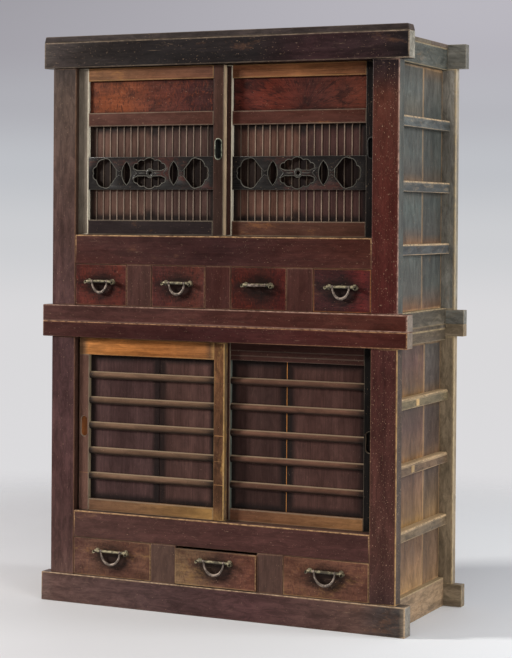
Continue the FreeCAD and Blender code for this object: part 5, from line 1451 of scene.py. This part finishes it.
def bail(name, place):
    low, high = boxOf(name + "_bail")
    half, fall = bailSet[name.split("_")[0]]
    thin, thick, bore, wall, steps = (bailSet[key] for key in ("thin", "thick", "bore", "wall", "steps"))
    swung = high.y - low.y > high.z - low.z
    if swung:  # it reaches no further out than its node
        fall = place[1] - low.y - thick
    knots, radii = [], []
    for step in range(steps + 1):
        angle = math.pi * step / steps
        knots.append((-half * math.cos(angle), -fall * math.sin(angle), 0))
        radii.append(thin + (thick - thin) * math.sin(angle) ** 2)
    bow = drawn("bow", [(knots, radii)], False, dimensions="3D", fill_mode="FULL", bevel_depth=1.0, bevel_resolution=3,
                use_fill_caps=True)
    parts = [stood(bow)]
    for hand in (-1, 1):
        deselectAll()
        bpy.ops.mesh.primitive_torus_add(
            major_radius=bore + wall / 2, minor_radius=wall / 2, major_segments=24, minor_segments=10)
        eye = bpy.context.active_object
        eye.scale = (1, 1, bailSet["eyeLength"] / wall)
        stood(eye, (0, math.radians(90), 0))
        parts.append(movedTo(eye, (hand * half, 0, 0)))
    whole = joinAll(parts, name + "_bow")
    smoothed(45)
    if swung:
        stood(whole, (math.radians(-90), 0, 0))
    movedTo(whole, place)
    finished(whole, name + "_ring", "bail_metal", metals["wornIron"], name + "_bail")


for name in drawerTones:
    bail(name, handle(name))
print("drawers ready")

# Sides: boards, rails and battens
sideSet = {"boardOuter": 0.531, "thickness": 0.010, "railOuter": 0.548, "gap": 0.0015, "ease": 0.001, "band": 0.010,
           "railBand": 0.005}
sideInner = sideSet["boardOuter"] - sideSet["thickness"]
frameBack, backFrameFront = upperBase[1].y, boxOf("upper_back_frame")[0].y
# warm wood shows just above each batten, grey grime in between
sideTones = {
    "upper": [
        [(0.0, (132, 96, 70)), (0.035, (106, 86, 70)), (0.07, (84, 82, 77)), (0.22, (84, 88, 84)), (0.25, (72, 66, 60)),
         (0.272, (120, 92, 70)), (0.31, (88, 78, 70)), (0.345, (80, 83, 80)), (0.42, (84, 90, 86)), (0.50, (78, 78, 74)),
         (0.53, (106, 88, 72)), (0.56, (84, 80, 74)), (0.64, (86, 90, 86)), (0.78, (84, 86, 82)), (0.81, (98, 94, 84)),
         (0.90, (92, 96, 92)), (1.0, (76, 74, 68))],
        [(0.0, (114, 86, 66)), (0.05, (88, 78, 70)), (0.10, (74, 76, 72)), (0.24, (68, 70, 68)), (0.275, (100, 78, 62)),
         (0.31, (74, 72, 68)), (0.45, (76, 80, 77)), (0.53, (90, 80, 70)), (0.60, (78, 80, 76)), (0.80, (78, 82, 79)),
         (0.94, (86, 84, 78)), (1.0, (104, 84, 64))],
    ],
    "lower": [
        [(0.0, (160, 126, 86)), (0.05, (138, 108, 78)), (0.14, (116, 90, 70)), (0.22, (98, 76, 60)), (0.255, (150, 118, 72)),
         (0.31, (124, 96, 68)), (0.40, (110, 84, 66)), (0.47, (94, 74, 64)), (0.51, (150, 112, 68)), (0.56, (112, 86, 66)),
         (0.66, (96, 74, 66)), (0.74, (84, 68, 60)), (0.77, (136, 104, 62)), (0.83, (104, 80, 62)), (0.92, (92, 70, 64)),
         (1.0, (80, 66, 60))],
        [(0.0, (142, 112, 82)), (0.08, (118, 94, 74)), (0.22, (96, 78, 64)), (0.26, (130, 104, 72)), (0.34, (108, 88, 68)),
         (0.47, (84, 72, 66)), (0.51, (120, 92, 66)), (0.58, (92, 76, 68)), (0.72, (78, 68, 64)), (0.77, (106, 84, 62)),
         (0.84, (80, 72, 68)), (1.0, (74, 70, 66))],
    ],
}
sideJoints = {"upper": 0.273, "lower": 0.300}
for part, bottom, top in sections:
    made = []
    joint = frameBack + sideJoints[part]
    places = ((frameBack, joint, 0.3), (joint + sideSet["gap"], backFrameFront, 0.6))
    for hand in (-1, 1):
        edges = sorted((hand * sideSet["boardOuter"], hand * sideInner))
        for (near, far, strength), tones in zip(places, sideTones[part]):
            low, high, bright = (edges[0], near, bottom), (edges[1], far, top), ((1, True, strength, 1.0),)
            made.append(board(low, high, "z", tones, sideSet["ease"], sideSet["band"], bright))
    node = part + "_side_boards"
    finished(joinAll(made, node + "_planks"), "carcass", "side_board_wood", woods["sideWood"], node)

boardThickness = 0.012
sideRailTones = {"upper": [(84, 78, 68), (78, 80, 75)], "lower": [(136, 114, 90), (84, 74, 62)]}
for part, rails in (
    ("upper", ((upperBase[0].z, upperBase[1].z), (topRail[0].z, topRail[1].z - boardThickness))),
    ("lower", ((0.0, baseRail[1].z), (lowerHead[0].z, lowerHead[1].z - boardThickness))),
):
    made = []
    for (bottom, top), colour in zip(rails, sideRailTones[part]):
        for hand in (-1, 1):
            edges = sorted((hand * sideSet["railOuter"], hand * sideInner))
            low, high = (edges[0], frameBack, bottom), (edges[1], backFrameFront, top)
            made.append(board(low, high, "y", flat(*colour), boardEase, sideSet["railBand"], ((2, True, 0.5, 1.0),)))
    node = part + "_side_rails"
    finished(joinAll(made, node + "_boards"), "carcass", "worn_frame_wood", woods["paleFrame"], node)

battenSet = {"height": 0.032, "proud": 0.026, "ease": 0.001, "inset": 0.004, "band": 0.0045}
battenPegs = {3: 0.40, 4: 0.32}  # a pale square peg in two of them, as a share of the depth
pegSet = {"half": 0.012, "rise": 0.008, "deep": 0.002, "proud": 0.0008, "tone": (196, 162, 112), "ease": 0.0006, "band": 0.002}
jointZ = upperBase[0].z
battens = [  # height of the middle, tone, rounding of the upper arris
    (jointZ + 0.611, (88, 92, 90), 0.003), (jointZ + 0.420, (82, 84, 82), 0.004), (jointZ + 0.234, (76, 78, 78), 0.003),
    (0.656, (112, 100, 76), 0.007), (0.462, (96, 78, 62), 0.007), (0.270, (112, 96, 76), 0.006),
]
made = []
for number, (middle, colour, rounding) in enumerate(battens):
    for hand in (-1, 1):
        outer = hand * (sideSet["boardOuter"] + battenSet["proud"])
        edges = sorted((hand * sideSet["boardOuter"], outer))
        low = Vector((edges[0], frameBack, middle - battenSet["height"] / 2))
        high = Vector((edges[1], backFrameFront, middle + battenSet["height"] / 2))
        one = block(low, high)
        bpy.ops.object.mode_set(mode="EDIT")
        pickEdges(one, lambda spot, length: abs(spot.x - outer) < 0.001 and abs(spot.z - high.z) < 0.001)
        bpy.ops.mesh.bevel(offset=rounding, segments=5, affect="EDGES")
        bpy.ops.object.mode_set(mode="OBJECT")
        easeAndBand(one, battenSet["ease"], battenSet["inset"])
        made.append(dressBoard(one, low, high, "y", flat(*colour), battenSet["band"], ((2, True, 0.5, 1.0),)))
        if number in battenPegs:
            spot = frameBack + (backFrameFront - frameBack) * battenPegs[number]
            near, far = sorted((outer - hand * pegSet["deep"], outer + hand * pegSet["proud"]))
            low = (near, spot - pegSet["half"], middle - pegSet["half"])
            high = (far, spot + pegSet["half"], middle + pegSet["rise"])
            made.append(board(low, high, "z", flat(*pegSet["tone"]), pegSet["ease"], pegSet["band"]))
finished(joinAll(made, "side_batten_strips"), "carcass", "batten_wood", woods["battenWood"], "side_battens")
print("sides ready")

# Back frames
backSet = {"upperBase": 0.044, "upperHead": 0.075, "lowerBase": 0.068, "lowerHead": 0.037, "middle": 0.060, "postBand": 0.007}
backTones = {"upper": (122, 120, 112), "lower": (128, 114, 94)}
backPostTones = {
    "upper": [(0.0, (122, 120, 112)), (0.45, (124, 121, 113)), (1.0, (150, 144, 134))],
    "lower": flat(140, 124, 102),
}
for part, bottom, top, middleZ in (
    ("upper", jointZ, topRail[1].z, upperSill[0].z),
    ("lower", 0.0, jointZ, lowerSill[0].z),
):
    node = part + "_back_frame"
    low, high = boxOf(node)
    colour = flat(*backTones[part])
    baseTop = bottom + backSet[part + "Base"]
    headBottom = top - backSet[part + "Head"]
    made = [
        board((low.x, low.y, bottom), (high.x, high.y, baseTop), "x", colour, boardEase),
        board((low.x, low.y, headBottom), (high.x, high.y, top), "x", colour, boardEase),
        board((-openingHalf, low.y, middleZ), (openingHalf, high.y, middleZ + backSet["middle"]), "x", colour, boardEase),
    ]
    for hand in (-1, 1):
        edges = sorted((hand * postSet["outer"], hand * openingHalf))
        bright = ((0, hand > 0, 0.5, 0.009), (0, hand > 0, 0.4, -0.006))
        postLow, postHigh = (edges[0], low.y, baseTop), (edges[1], high.y, headBottom)
        made.append(board(postLow, postHigh, "z", backPostTones[part], boardEase, backSet["postBand"], bright))
    finished(joinAll(made, node + "_boards"), "carcass", "worn_frame_wood", woods["paleFrame"], node)

# Back boards, top boards, floors and their cleats
coverSet = {
    "floorHalf": 0.521, "cleat": 0.020, "cleatHeight": 0.018, "cleatEase": 0.001, "track": 0.026,
    "back": 0.008, "backInset": 0.009, "backGap": 0.0003,
    "woodTone": (138, 108, 80), "cleatTone": (120, 92, 66), "topTone": (104, 94, 82), "innerTopTone": (88, 80, 68),
}
backLow = backFrameFront + coverSet["backInset"]
made = []
for bottom, top in (
    (backSet["lowerBase"], lowerSill[0].z), (lowerSill[0].z + backSet["middle"], jointZ - backSet["lowerHead"]),
    (jointZ + backSet["upperBase"], upperSill[0].z), (upperSill[0].z + backSet["middle"], topRail[1].z - backSet["upperHead"]),
):
    low, high = (-openingHalf, backLow, bottom), (openingHalf, backLow + coverSet["back"], top)
    made += planks(low, high, "x", 5, "z", coverSet["woodTone"], coverSet["backGap"])
finished(joinAll(made, "back_board_planks"), "carcass", "plain_wood", woods["plankWood"], "back_boards")


def topPlanks(top, tone):  # three planks that close a section from above
    half = sideSet["railOuter"]
    low, high = (-half, frameBack, top - boardThickness), (half, backFrameFront, top)
    return planks(low, high, "y", 3, "x", tone)


def floorPlanks(top, near):  # three planks on two cleats
    half, cleat = coverSet["floorHalf"], coverSet["cleat"]
    under = top - boardThickness
    made = planks((-half, near, under), (half, backFrameFront, top), "y", 3, "x", coverSet["woodTone"])
    for edges in ((-half, cleat - half), (half - cleat, half)):
        low, high = (edges[0], frameBack, under - coverSet["cleatHeight"]), (edges[1], backFrameFront, under)
        made.append(board(low, high, "y", flat(*coverSet["cleatTone"]), coverSet["cleatEase"]))
    return made


made = topPlanks(topRail[1].z, coverSet["topTone"])
finished(joinAll(made, "top_board_planks"), "carcass", "plain_wood", woods["dustyWood"], "top_boards")

track = frameBack + coverSet["track"]
made = floorPlanks(upperSill[1].z, track) + floorPlanks(upperBase[1].z, frameBack)
finished(joinAll(made, "upper_floor_planks"), "carcass", "plain_wood", woods["plankWood"], "upper_floor_boards")
made = [coated(one, woods["paleFrame"]) for one in topPlanks(lowerHead[1].z, coverSet["innerTopTone"])]
made += [coated(one, woods["plankWood"]) for one in floorPlanks(lowerSill[1].z, track) + floorPlanks(baseRail[1].z, frameBack)]
finished(joinAll(made, "lower_floor_planks"), "carcass", "plain_wood", None, "lower_floor_boards")

coated(bpy.data.objects["tracks_and_runners"], woods["trackWood"])
print("back, top and floors ready")
